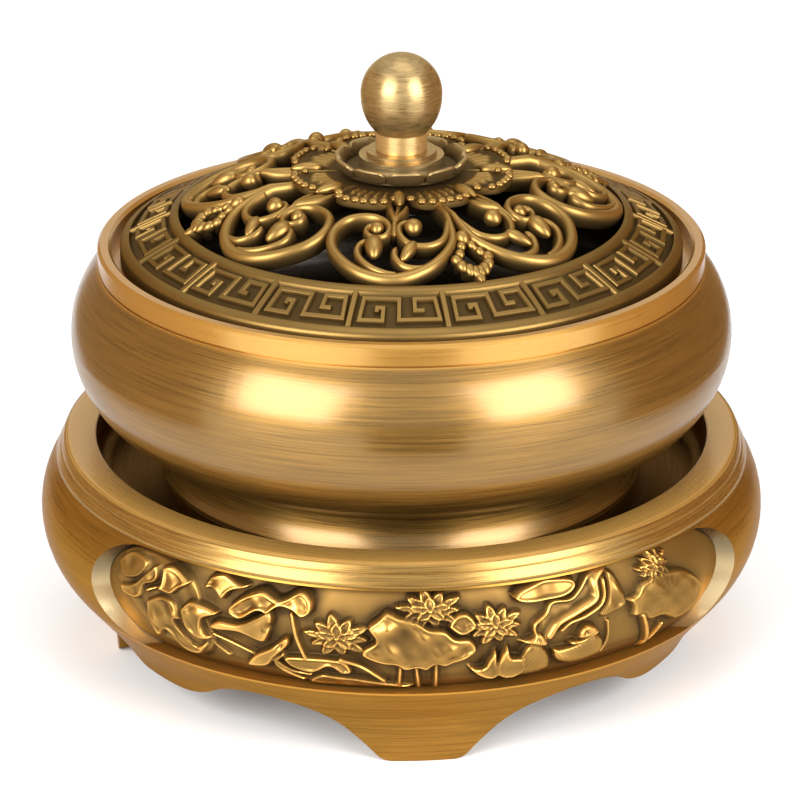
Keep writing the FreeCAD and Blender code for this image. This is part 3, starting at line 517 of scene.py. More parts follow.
class BurnerRelief(bpy.types.PropertyGroup):
    """Sizes of the two relief panels, which follow the bulging side of the stand."""

    bulge: FloatProperty(
        name="Bulge", description="Height of the stand's bulge", unit="LENGTH", default=23.1 * MM)
    lower_curve: FloatProperty(
        name="Lower curve", description="Radius of the side's curve below the bulge",
        unit="LENGTH", default=13.65 * MM)
    upper_curve: FloatProperty(
        name="Upper curve", description="Radius of the side's curve above the bulge",
        unit="LENGTH", default=13.39 * MM)
    waist: FloatProperty(
        name="Waist", description="Height under which the side is upright",
        unit="LENGTH", default=14.6 * MM)
    shoulder: FloatProperty(
        name="Shoulder", description="Height over which the side is upright",
        unit="LENGTH", default=SHOULDER_HEIGHT * MM)
    thickness: FloatProperty(
        name="Thickness", description="Thickness of the panel", unit="LENGTH", default=1.2 * MM)
    half_angle: FloatProperty(
        name="Half angle", description="Half the angle between the middles of the round ends",
        subtype="ANGLE", default=math.radians(47.5))
    flare: FloatProperty(
        name="Flare", description="Flare of the window's ends",
        subtype="ANGLE", default=math.radians(35.0))
    pitch: FloatProperty(
        name="Pitch", description="Spacing of the modelled points", unit="LENGTH", default=0.13 * MM)
    height: FloatProperty(
        name="Height", description="Share of the relief's modelled height", subtype="FACTOR", default=1.0)


class BurnerStage(bpy.types.PropertyGroup):
    """Camera and lamps."""

    azimuth: FloatProperty(
        name="Azimuth", description="Camera's turn from the front",
        subtype="ANGLE", default=math.radians(-4.0))
    distance: FloatProperty(
        name="Distance", description="Camera's level distance from the axis", unit="LENGTH", default=0.465)
    height: FloatProperty(name="Height", description="Camera's height", unit="LENGTH", default=0.2285)
    pitch: FloatProperty(
        name="Pitch", description="Camera's look down", subtype="ANGLE", default=math.radians(22.27))
    yaw: FloatProperty(
        name="Yaw", description="Camera's look aside", subtype="ANGLE", default=math.radians(0.026))
    lens: FloatProperty(
        name="Lens", description="Focal length in mm on a 36 mm sensor", unit="CAMERA", default=148.7)
    softbox_power: FloatProperty(
        name="Softboxes", description="Power of a full softbox in watts", unit="POWER", default=11.5)
    sky: FloatProperty(name="Sky", description="Strength of the even light", default=0.60)


class Shape:
    """Points in mm, faces and a value for each point of patina, and on the relief of painted shade, gathered
    before they become a mesh.
    """

    def __init__(self):
        self.points = []
        self.faces = []
        self.recess = []
        self.count = 0

    def add(self, points, faces, recess):
        """Adds a patch; recess holds one value for each point."""
        points = np.asarray(points, float).reshape(-1, 3)
        self.faces += [[corner + self.count for corner in face] for face in faces]
        self.points.append(points)
        self.recess.append(np.asarray(recess, float).ravel())
        self.count += len(points)


def piece(name, shape, material, body, slot, *replaced, sharp=None):
    """A mesh object in the frame, riding on a body, with its finish and the CAD nodes it stands for."""
    mesh = bpy.data.meshes.new(name)
    mesh.from_pydata((np.concatenate(shape.points) * MM).tolist(), [], shape.faces)
    recess = mesh.attributes.new("recess", "FLOAT", "POINT")
    recess.data.foreach_set("value", np.concatenate(shape.recess))
    work = bmesh.new()
    work.from_mesh(mesh)
    bmesh.ops.remove_doubles(work, verts=work.verts, dist=WELD * MM)
    bmesh.ops.recalc_face_normals(work, faces=work.faces)
    work.to_mesh(mesh)
    work.free()
    mesh.shade_smooth()
    if sharp is not None:
        mesh.set_sharp_from_angle(angle=math.radians(sharp))
    mesh.materials.append(material)
    made = bpy.data.objects.new(name, mesh)
    bpy.context.scene.collection.objects.link(made)
    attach(made, body)
    if replaced:
        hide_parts(*replaced)


def dress(node, material):
    """Gives a CAD node its finish."""
    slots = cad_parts[node].data.materials
    slots.clear()
    slots.append(material)


def soft_step(value, low, high):
    """0 below low, 1 above high, smooth between."""
    share = np.clip((value - low) / (high - low), 0, 1)
    return share * share * (3 - 2 * share)


def bell(value, middle, width):
    """1 at the middle, falling off on both sides within about the width."""
    return np.exp(-((value - middle) / width) ** 2)


def around(radius, heading, height):
    """Points at a radius, a heading from the front and a height; each may be a number or a grid."""
    return np.stack(
        np.broadcast_arrays(radius * np.sin(heading), -radius * np.cos(heading), height), axis=-1)


def flat_around(radius, heading):
    """Flat points at a radius and a heading from the front."""
    return around(radius, heading, 0.0)[..., :2]


def grid_faces(rows, columns, wrap_rows=False, wrap_columns=False):
    """Corner numbers of a grid of quads; a wrapped side joins its last line to its first."""
    row_numbers = np.arange(rows if wrap_rows else rows - 1)
    column_numbers = np.arange(columns if wrap_columns else columns - 1)
    row, column = np.meshgrid(row_numbers, column_numbers, indexing="ij")
    below = row * columns
    above = (row + 1) % rows * columns
    beside = (column + 1) % columns
    corners = (below + column, below + beside, above + beside, above + column)
    return np.stack(corners, axis=-1).reshape(-1, 4)


def lathe(shape, profile, segments):
    """A closed profile turned about the upright axis; a row is radius and height in mm, and patina."""
    radius, height, dark = np.asarray(profile, float).T[..., None]
    heading = np.linspace(0, 2 * math.pi, segments, endpoint=False)
    faces = grid_faces(len(radius), segments, wrap_rows=True, wrap_columns=True)
    shape.add(around(radius, heading, height), faces, np.repeat(dark, segments))


def smooth_line(points, spacing):
    """Points at an even spacing along a curve through the given points; further columns ride along."""
    points = np.asarray(points, float)
    padded = np.vstack((2 * points[0] - points[1], points, 2 * points[-1] - points[-2]))
    fine = []
    share = np.linspace(0, 1, 12, endpoint=False)[:, None]
    for before, start, end, after in zip(padded, padded[1:], padded[2:], padded[3:]):
        fine.append(0.5 * (2 * start + (end - before) * share
                           + (2 * before - 5 * start + 4 * end - after) * share ** 2
                           + (3 * start - before - 3 * end + after) * share ** 3))
    fine = np.vstack(fine + [points[-1:]])
    way = np.concatenate(([0], np.cumsum(np.hypot(*np.diff(fine[:, :2], axis=0).T))))
    even = np.linspace(0, way[-1], max(4, int(way[-1] / spacing)))
    return np.stack([np.interp(even, way, column) for column in fine.T], axis=1)


def ellipsoid(shape, centre, across, along, up, recess_low=0.7, rounds=20, rings=12):
    """An egg-shaped bead with the given half axes, pointed a little towards the end of along."""
    turn = np.linspace(0, 2 * math.pi, rounds, endpoint=False)[None, :, None]
    lean = np.linspace(0, math.pi, rings)[:, None, None]
    taper = 1 - 0.22 * np.cos(lean)
    round_about = across * np.cos(turn) + up * np.sin(turn)
    points = centre + along * np.cos(lean) + round_about * np.sin(lean) * taper
    height = (np.sin(turn) * np.sin(lean))[..., 0]
    marks = recess_low * np.clip(0.15 - height, 0, 1)
    shape.add(points, grid_faces(rings, rounds, wrap_columns=True), marks)


class Dome:
    """The lid's surface in mm: a flat middle, a bulging openwork part and the fret ring's sphere."""

    def __init__(self, lid):
        self.hub = lid.hub_radius / MM
        self.flat = lid.hub_flat / MM
        self.ring = lid.ring_inner / MM
        self.top = LID_HIGH[2]
        self.sphere = lid.dome_radius / MM
        self.centre = LID_LOW[2] + lid.edge / MM - math.sqrt(self.sphere ** 2 - LID_RADIUS ** 2)
        ring_height = self.centre + math.sqrt(self.sphere ** 2 - self.ring ** 2)
        drop = 2 * (ring_height - self.top)
        self.crown_centre = (self.ring ** 2 + ring_height ** 2 - self.flat ** 2 - self.top ** 2) / drop
        self.crown = math.hypot(self.ring, ring_height - self.crown_centre)

    def height(self, radius):
        """Height of the surface at a radius."""
        radius = np.asarray(radius, float)
        crown = self.crown_centre + np.sqrt(np.maximum(self.crown ** 2 - radius ** 2, 0))
        outer = self.centre + np.sqrt(np.maximum(self.sphere ** 2 - radius ** 2, 0))
        return np.where(radius < self.flat, self.top, np.where(radius < self.ring, crown, outer))

    def lifted(self, flat_points):
        """Points on the surface above flat points, with the surface's own upward direction."""
        step = 0.4
        radius = np.maximum(np.hypot(flat_points[:, 0], flat_points[:, 1]), 1e-6)
        slope = (self.height(radius + step) - self.height(radius - step)) / (2 * step)
        outward = flat_points[:, :2] / radius[:, None]
        up = np.column_stack((-slope[:, None] * outward, np.ones(len(radius))))
        up /= np.linalg.norm(up, axis=1, keepdims=True)
        return np.column_stack((flat_points[:, :2], self.height(radius))), up

    def place(self, angle, way_out, mirrored, turn):
        """Flat point of the scroll pattern; angle and turn in degrees."""
        heading = np.radians(turn + (-np.asarray(angle) if mirrored else np.asarray(angle)))
        return flat_around(self.hub + np.asarray(way_out) * (self.ring - self.hub), heading)


def mirrored_section(half, *top):
    """A section from its right half: the left half upwards, what is at the top, the right half downwards."""
    return [(-across, lift, dark) for across, lift, dark in reversed(half)] + [*top, *half]


def swept(shape, centres, ups, half_widths, section, rise):
    """A section carried along a line, with round ends; half_widths holds one value for each point."""
    along = np.gradient(centres, axis=0)
    along /= np.linalg.norm(along, axis=1, keepdims=True)
    side = np.cross(along, ups)
    side /= np.linalg.norm(side, axis=1, keepdims=True)
    way = np.concatenate(([0], np.cumsum(np.linalg.norm(np.diff(centres, axis=0), axis=1))))
    share = np.clip(np.minimum(way, way[-1] - way) / half_widths, 0, 1)
    rounding = np.sqrt(np.maximum(1 - (1 - share) ** 2, 0.0))
    end_height = 0.55
    fullness = end_height + (1 - end_height) * rounding
    across, lift, dark = np.asarray(section, float).T
    across = across[None, :] * (half_widths * rounding)[:, None]
    lift = np.where(lift > 0, lift * rise, lift)[None, :] * fullness[:, None]
    points = centres[:, None] + side[:, None] * across[..., None] + ups[:, None] * lift[..., None]
    shape.add(points, grid_faces(len(centres), len(section), wrap_columns=True), np.tile(dark, len(centres)))


def strip(shape, dome, corners, section):
    """A fret strip with mitred corners and closed ends; corners are flat points in mm."""
    sharpest_mitre = 0.35
    legs = np.diff(corners, axis=0)
    legs /= np.linalg.norm(legs, axis=1, keepdims=True)
    before = np.vstack((legs[:1], legs))
    after = np.vstack((legs, legs[-1:]))
    mitre = before + after
    mitre /= np.linalg.norm(mitre, axis=1, keepdims=True)
    side = np.column_stack((mitre[:, 1], -mitre[:, 0]))
    side /= np.maximum(np.abs(np.sum(mitre * before, axis=1, keepdims=True)), sharpest_mitre)
    rows = []
    for across, lift, dark in section:
        on_dome, up = dome.lifted(corners + side * across)
        rows.append(on_dome + up * lift)
    count = len(section)
    last = (len(corners) - 1) * count
    faces = grid_faces(len(corners), count).tolist()
    faces.append(list(range(count)))
    faces.append([last + number for number in reversed(range(count))])
    marks = np.tile([dark for across, lift, dark in section], len(corners))
    shape.add(np.stack(rows, axis=1), faces, marks)


class Graph:
    """Short calls that add nodes to one tree and join them."""

    def __init__(self, tree):
        self.tree = tree

    def add(self, kind, **settings):
        """A new node with its settings."""
        node = self.tree.nodes.new("ShaderNode" + kind)
        for name, value in settings.items():
            setattr(node, name, value)
        return node

    def put(self, value, socket):
        """Links another node's output to a socket, or sets the socket to a plain value."""
        if isinstance(value, bpy.types.NodeSocket):
            self.tree.links.new(value, socket)
        else:
            socket.default_value = value

    def feed(self, node, **values):
        """Puts values on a node's inputs; names are written with _ for a space."""
        for name, value in values.items():
            self.put(value, node.inputs[name.replace("_", " ")])
        return node

    def math(self, operation, first, second=0.0, clamp=False):
        """One step of arithmetic."""
        node = self.add("Math", operation=operation, use_clamp=clamp)
        self.put(first, node.inputs[0])
        self.put(second, node.inputs[1])
        return node.outputs[0]

    def product(self, first, *others):
        """Values or masks multiplied together."""
        for other in others:
            first = self.math("MULTIPLY", first, other)
        return first

    def mix(self, factor, first, second):
        """Blend of two colours; a Mix node's inputs go by number, because its kinds share their names."""
        node = self.add("Mix", data_type="RGBA")
        for number, value in ((0, factor), (6, first), (7, second)):
            self.put(value, node.inputs[number])
        return node.outputs[2]

    def mix_values(self, factor, first, second):
        """Blend of two values."""
        node = self.add("Mix", data_type="FLOAT")
        for number, value in ((0, factor), (2, first), (3, second)):
            self.put(value, node.inputs[number])
        return node.outputs[0]

    def scaled(self, colour, factor):
        """A colour made lighter or darker by a factor that varies."""
        node = self.add("VectorMath", operation="SCALE")
        self.put(colour, node.inputs[0])
        self.put(factor, node.inputs["Scale"])
        return node.outputs[0]

    def span(self, value, low, high, to_low=0.0, to_high=1.0):
        """A value brought from one range to another, held at its ends."""
        node = self.add("MapRange", interpolation_type="SMOOTHSTEP")
        self.feed(node, Value=value, From_Min=low, From_Max=high, To_Min=to_low, To_Max=to_high)
        return node.outputs[0]

    def vary(self, noise, low, high):
        """A noise brought to a range of its own."""
        return self.span(noise, NOISE_LOW, NOISE_HIGH, low, high)

    def over(self, value, place):
        """0 before a place in mm, 1 beyond it."""
        return self.span(value, place[0] * MM, place[1] * MM)

    def under(self, value, place):
        """1 before a place in mm, 0 beyond it."""
        return self.span(value, place[0] * MM, place[1] * MM, 1.0, 0.0)

    def group(self, tree, **values):
        """A shared group with its own values."""
        return self.feed(self.add("Group", node_tree=tree), **values).outputs

    def noise(self, vector, scale, detail, fourth=None):
        """Soft noise; with a fourth coordinate it has four dimensions."""
        node = self.add("TexNoise", noise_dimensions="3D" if fourth is None else "4D")
        self.feed(node, Vector=vector, Scale=scale, Detail=detail)
        if fourth is not None:
            self.feed(node, W=fourth)
        return node.outputs[0]

    def bump(self, height, strength, distance):
        """A normal that follows a fine height; distance in mm."""
        node = self.add("Bump")
        return self.feed(node, Strength=strength, Distance=distance * MM, Height=height).outputs[0]

    def object_place(self):
        """Place on the object as one vector."""
        return self.add("TexCoord").outputs["Object"]

    def split(self, vector):
        """The three parts of a vector."""
        return self.feed(self.add("SeparateXYZ"), Vector=vector).outputs

    def place(self):
        """Place on the object, in three parts."""
        return self.split(self.object_place())

    def facing(self):
        """Direction that the surface faces, in three parts."""
        return self.split(self.add("NewGeometry").outputs["Normal"])

    def from_axis(self, place):
        """Distance from the burner's upright axis."""
        squares = [self.math("POWER", place[number], 2.0) for number in (0, 1)]
        return self.math("SQRT", self.math("ADD", *squares))


def node_group(name, inputs, outputs, build):
    """A shader node group with named sockets, built when it is first asked for."""
    found = bpy.data.node_groups.get(name)
    if found:
        return found
    tree = bpy.data.node_groups.new(name, "ShaderNodeTree")
    for label, kind, default in inputs:
        socket = tree.interface.new_socket(label, in_out="INPUT", socket_type="NodeSocket" + kind)
        socket.default_value = default
    for label, kind in outputs:
        tree.interface.new_socket(label, in_out="OUTPUT", socket_type="NodeSocket" + kind)
    made = build(Graph(tree), tree.nodes.new("NodeGroupInput").outputs)
    ends = tree.nodes.new("NodeGroupOutput").inputs
    for label, value in made.items():
        tree.links.new(value, ends[label])
    return tree


def turning_lines():
    """Fine lines that run round the upright axis, as left by brushing on a lathe."""
    def build(graph, given):
        place = graph.place()
        radius = graph.from_axis(place)
        held = graph.math("MAXIMUM", radius, 0.5 * MM)
        cosine = graph.product(graph.math("DIVIDE", place[0], held), given["Breaks"])
        sine = graph.product(graph.math("DIVIDE", place[1], held), given["Breaks"])
        made = {}
        for output, share in (("Lines", 1.0), ("Streaks", 0.20)):
            fineness = graph.product(given["Fineness"], share)
            vector = graph.feed(
                graph.add("CombineXYZ"), X=graph.product(radius, fineness),
                Y=graph.product(place[2], fineness), Z=cosine)
            made[output] = graph.noise(vector.outputs[0], 1.0, 3.0, sine)
        return made

    inputs = [("Fineness", "Float", 5000.0), ("Breaks", "Float", 5.0)]
    return node_group("Turning lines", inputs, [("Lines", "Float"), ("Streaks", "Float")], build)


def cast_grain():
    """Soft unevenness of cast and hand-finished brass, and its fine grain."""
    def build(graph, given):
        place = graph.object_place()
        coarse = graph.product(given["Scale"], 0.12)
        return {"Grain": graph.noise(place, given["Scale"], 3.0), "Mottle": graph.noise(place, coarse, 2.0)}

    inputs = [("Scale", "Float", 700.0)]
    return node_group("Cast grain", inputs, [("Grain", "Float"), ("Mottle", "Float")], build)


def aged_brass():
    """Worn brass on what stands proud, and dark patina in the hollows, which on the relief also gives painted
    shade at the forms' edges.
    """
    def build(graph, given):
        recess = given["Recess"]
        uneven = graph.product(graph.math("SUBTRACT", given["Mottle"], 0.5), 0.7)
        hollow = graph.math("ADD", recess, graph.product(uneven, recess))
        dark = graph.math("MULTIPLY", hollow, given["Reach"], clamp=True)
        brightened = graph.span(recess, -0.4, 0.05, 2.1, 1.0)
        worn = graph.scaled(given["Worn"], graph.product(graph.vary(given["Mottle"], 0.88, 1.08), brightened))
        return {
            "Color": graph.mix(dark, worn, given["Patina"]),
            "Roughness": graph.span(dark, 0.0, 1.0, 0.36, 0.62),
            "Dark": dark,
        }

    inputs = [
        ("Worn", "Color", (0.5, 0.33, 0.12, 1)), ("Patina", "Color", (0.03, 0.02, 0.01, 1)),
        ("Recess", "Float", 0.0), ("Mottle", "Float", 0.5), ("Reach", "Float", 0.9),
    ]
    outputs = [("Color", "Color"), ("Roughness", "Float"), ("Dark", "Float")]
    return node_group("Aged brass", inputs, outputs, build)


def new_material(name):
    """A material with its Principled shader, ready for its nodes."""
    material = bpy.data.materials.new(name)
    material.use_nodes = True
    return material, Graph(material.node_tree), material.node_tree.nodes["Principled BSDF"]


def shaded(colour, factor):
    """A colour made lighter or darker all over."""
    return tuple(factor * value for value in colour)


def opaque(colour):
    """A colour with full alpha."""
    return (*colour, 1.0)


def source(shader, name):
    """The output that already feeds one of the shader's inputs."""
    return shader.inputs[name].links[0].from_socket


def metal(graph, shader, tint, **values):
    """Brass or steel whose edges keep their own colour."""
    edge_white = 0.35
    edge_gain = 1.3
    edge = tuple(min(1.0, edge_white + edge_gain * value) for value in tint)
    graph.feed(shader, Specular_Tint=opaque(edge), Specular_IOR_Level=0.3, **values)


def brushed_metal(name, colour, roughness, fineness, breaks, lacquer=0.0):
    """Metal with circular brush lines, under a share of clear lacquer."""
    material, graph, shader = new_material(name)
    lines = graph.group(turning_lines(), Fineness=fineness, Breaks=breaks)
    grain = graph.group(cast_grain(), Scale=260.0)
    streak = graph.vary(lines["Streaks"], 0.93, 1.06)
    fine = graph.vary(lines["Lines"], 0.80, 1.18)
    mottle = graph.vary(grain["Mottle"], 0.95, 1.05)
    tinted = graph.scaled(tuple(colour), graph.product(streak, fine, mottle))
    rough = graph.span(lines["Lines"], 0.25, 0.75, roughness - 0.07, roughness + 0.09)
    height = graph.math("ADD", lines["Lines"], graph.product(lines["Streaks"], 0.2))
    metal(graph, shader, colour, Base_Color=tinted, Metallic=0.85, Roughness=rough,
          Normal=graph.bump(height, strength=0.5, distance=0.03), Anisotropic=0.5, Anisotropic_Rotation=0.25,
          Coat_Weight=lacquer, Coat_Roughness=0.2)
    return material, graph, shader


def aged_material(name, worn, patina_and_shade, reach, grain_scale, roughness_shift=0.0):
    """Antiqued brass whose patina, with painted shade on the relief, follows the mesh's own hollows."""
    material, graph, shader = new_material(name)
    recess = graph.add("Attribute", attribute_name="recess").outputs["Fac"]
    grain = graph.group(cast_grain(), Scale=grain_scale)
    aged = graph.group(
        aged_brass(), Worn=opaque(worn), Patina=opaque(patina_and_shade), Recess=recess, Mottle=grain["Mottle"],
        Reach=reach)
    rough = graph.math("ADD", aged["Roughness"], roughness_shift)
    bare = graph.span(aged["Dark"], 0.0, 1.0, 0.88, 0.72)
    metal(graph, shader, worn, Base_Color=aged["Color"], Metallic=bare, Roughness=rough,
          Normal=graph.bump(grain["Grain"], strength=0.25, distance=0.05))
    return material


class StandOperator(bpy.types.Operator):
    """Satin brass on the footed stand, and the skin of its turned rim."""

    bl_idname = "burner.stand"
    bl_label = "Stand"

    def execute(self, context):
        brass = context.scene.burner_brass
        dress("base_stand", self.satin_brass(brass))
        rim = Shape()
        lathe(rim, self.rim_profile(), 480)
        piece("stand_rim", rim, self.rim_brass(brass), "stand", "stand_brass")
        return {"FINISHED"}

    def satin_brass(self, brass):
        """Brushed brass with painted reflection and painted shade on the polished window ends, a painted
        highlight on the sill's edge and a painted shadow in the dish.
        """
        material, graph, shader = brushed_metal(
            "stand_brass", brass.stand, brass.roughness, fineness=4600.0, breaks=3.5)
        place = graph.place()
        facing = graph.facing()
        height = place[2]
        radius = graph.from_axis(place)
        sideways = graph.math(
            "SUBTRACT", graph.product(place[0], facing[1]), graph.product(place[1], facing[0]))
        slant = graph.math("ABSOLUTE", graph.math("DIVIDE", sideways, radius))
        window_end = graph.product(graph.span(slant, 0.12, 0.22), graph.over(height, WINDOW_SILL))
        # Painted shadow in the dish, in the patina colour.
        dish = graph.product(graph.under(radius, DISH_WALL), graph.over(height, DISH_FLOOR))
        shade_start, shade_end = DISH_SHADE
        shadow = graph.product(dish, graph.span(height, shade_start * MM, shade_end * MM, 0.85, 0.35))
        # Painted highlight on the polished lip along the sill.
        edge = graph.product(graph.over(height, SILL_HIGHLIGHT_START), graph.under(height, SILL_HIGHLIGHT_END))
        sill_painted_highlight = graph.mix(edge, source(shader, "Base Color"), opaque(shaded(brass.stand, 2.0)))
        # Painted reflection on the polished window ends, darkened above as painted shade.
        painted_window_reflection = graph.mix(
            graph.over(height, WINDOW_SHADE), opaque(brass.polished_and_painted_reflection), opaque(shaded(brass.polished_and_painted_reflection, 0.3)))
        polished_and_painted_reflection = graph.mix(window_end, sill_painted_highlight, painted_window_reflection)
        graph.feed(
            shader, Base_Color=graph.mix(shadow, polished_and_painted_reflection, opaque(brass.patina_and_shade)),
            Roughness=graph.mix_values(window_end, source(shader, "Roughness"), 0.26))
        return material

    def rim_brass(self, brass):
        """Brushed brass, satin on the flat top, which is made paler as painted light from above."""
        material, graph, shader = brushed_metal(
            "rim_brass", brass.rim, brass.roughness - 0.04, fineness=4600.0, breaks=6.0, lacquer=0.3)
        # Upward faces are made paler: painted light from above on the satin top.
        flat = graph.span(graph.facing()[2], 0.75, 0.95)
        colour = graph.mix(flat, source(shader, "Base Color"), opaque(shaded(brass.rim, 1.5)))
        graph.feed(shader, Base_Color=colour, Metallic=graph.span(flat, 0.0, 1.0, 0.85, 0.40))
        return material

    def rim_profile(self):
        """Skin of the turned rim: flat top, a fine step and the grooved slope down to the windows."""
        slope = (SHOULDER_RADIUS - RIM_OUTER) / (STAND_TOP - SHOULDER_HEIGHT)
        skin = 0.06
        groove_drop = 1.5
        groove_size = 0.10
        top = [
            (RIM_INNER - 0.03, 1.2), (RIM_INNER - 0.03, 0.25), (RIM_INNER + 0.05, 0.05),
            (RIM_INNER + 0.25, -0.03), (RIM_OUTER - 0.75, -0.03), (RIM_OUTER - 0.45, -0.02),
            (RIM_OUTER - 0.28, 0.06), (RIM_OUTER - 0.16, 0.18),
        ]
        side = []
        for drop in (0.22, 0.45, 0.9, 1.3, 1.42, 1.50, 1.62, 1.8, 2.2, 2.7, 3.15):
            groove = groove_size * bell(drop, groove_drop, groove_size)
            side.append((RIM_OUTER + slope * drop + skin - groove, drop))
        hidden = [(RIM_OUTER + slope * 3.2 - 0.6, 3.2), (RIM_OUTER - 1.0, 1.5)]
        return [(radius, STAND_TOP - drop, 0.0) for radius, drop in top + side + hidden]


class BowlOperator(bpy.types.Operator):
    """Brushed brass on the bowl."""

    bl_idname = "burner.bowl"
    bl_label = "Bowl"

    def execute(self, context):
        dress("bowl", self.bowl_brass(context.scene.burner_brass))
        return {"FINISHED"}

    def bowl_brass(self, brass):
        """Lacquered brass with a polished collar lightened as a painted highlight, darkened inside by soot
        and painted shade.
        """
        material, graph, shader = brushed_metal(
            "bowl_brass", brass.bowl, brass.roughness, fineness=5200.0, breaks=3.5, lacquer=0.7)
        place = graph.place()
        facing = graph.facing()
        height = place[2]
        outward = graph.math(
            "ADD", graph.product(place[0], facing[0]), graph.product(place[1], facing[1]))
        # Soot and painted shade: the inside and the floor of the bowl are darkened.
        inside = graph.under(outward, BOWL_INWARD)
        within = graph.under(graph.from_axis(place), BOWL_WALL)
        floor = graph.product(graph.span(facing[2], 0.4, 0.6), within)
        soot_and_painted_shade = graph.product(
            graph.math("MAXIMUM", inside, floor), graph.under(height, BOWL_LEDGE),
            graph.over(height, BOWL_FOOT))
        # Painted highlight on the polished collar.
        brightened = graph.mix(
            graph.over(height, COLLAR_FOOT), source(shader, "Base Color"), opaque(shaded(brass.bowl, 2.2)))
        graph.feed(shader, Base_Color=graph.mix(soot_and_painted_shade, brightened, opaque(brass.soot_and_shade)))
        return material


class MatOperator(bpy.types.Operator):
    """Felted fibre mat on the bowl's floor."""

    bl_idname = "burner.mat"
    bl_label = "Fire mat"

    def execute(self, context):
        fibre = context.scene.burner_brass.fibre
        material, graph, shader = new_material("mat_fibre")
        grain = graph.group(cast_grain(), Scale=900.0)["Grain"]
        colour = graph.mix(grain, opaque(shaded(fibre, 0.6)), opaque(fibre))
        felted = graph.bump(grain, strength=0.8, distance=0.3)
        graph.feed(shader, Base_Color=colour, Roughness=0.95, Normal=felted)
        dress("fire_mat", material)
        return {"FINISHED"}


class FretOperator(bpy.types.Operator):
    """Fret ring of the lid: borders, bars and hooked keys in a dark recess."""

    bl_idname = "burner.fret"
    bl_label = "Fret ring"

    def execute(self, context):
        lid = context.scene.burner_lid
        brass = context.scene.burner_brass
        dome = Dome(lid)
        inner = dome.ring + lid.border / MM
        outer = LID_RADIUS - lid.border / MM
        shape = Shape()
        lathe(shape, self.profile(lid, dome, inner, outer), 360)
        step = 2 * math.pi / lid.fret_panels
        key_section = mirrored_section(FRET_HALF)
        bar_section = [(FRET_BAR_GROWTH * across, lift, dark) for across, lift, dark in key_section]
        across, outward = np.array(FRET_KEY).T
        for number in range(lid.fret_panels):
            left = lid.fret_turn + (number - 0.5) * step
            strip(shape, dome, flat_around(np.linspace(inner - 0.1, outer + 0.1, 4), left), bar_section)
            key = flat_around(inner + outward * (outer - inner), left + across * step)
            strip(shape, dome, key, key_section)
        material = aged_material(
            "fret_brass", shaded(brass.bright, 0.66), brass.patina_and_shade, reach=0.78, grain_scale=700.0)
        piece("lid_fret_ring", shape, material, "lid", "lid_brass", "lid", sharp=40)
        return {"FINISHED"}

    def profile(self, lid, dome, inner, outer):
        """Section of the ring: a plain border on each side of the sunk ground, the edge and the underside."""
        bore = dome.ring
        foot = LID_LOW[2]
        depth = lid.fret_depth / MM
        thick = lid.thickness / MM
        face = [
            (bore, thick, 1.0), (bore, 0.35, 0.5), (bore + 0.12, 0.08, 0.1), (bore + 0.35, 0.0, 0.0),
            (inner - 0.35, 0.0, 0.0), (inner - 0.1, 0.08, 0.0), (inner, 0.3, 0.5), (inner + 0.1, depth, 1.0),
        ]
        face += [(radius, depth, 1.0) for radius in np.linspace(inner + 0.3, outer - 0.3, 7)]
        face += [
            (outer - 0.1, depth, 1.0), (outer, 0.3, 0.5), (outer + 0.1, 0.08, 0.0), (outer + 0.35, 0.0, 0.0),
            (LID_RADIUS - 0.35, 0.0, 0.0), (LID_RADIUS - 0.1, 0.12, 0.0), (LID_RADIUS, 0.4, 0.1),
        ]
        edge = [(LID_RADIUS, foot + 0.2, 0.6), (LID_RADIUS - 0.2, foot, 0.8), (LID_RADIUS - 0.6, foot, 0.9)]
        underside = [(radius, thick, 1.0) for radius in np.linspace(LID_RADIUS - 0.7, bore, 8)[:-1]]
        return self.below_dome(dome, face) + edge + self.below_dome(dome, underside)

    def below_dome(self, dome, rows):
        """Rows of radius, drop below the dome and patina, with the drop turned into a height."""
        return [(radius, float(dome.height(radius)) - drop, dark) for radius, drop, dark in rows]


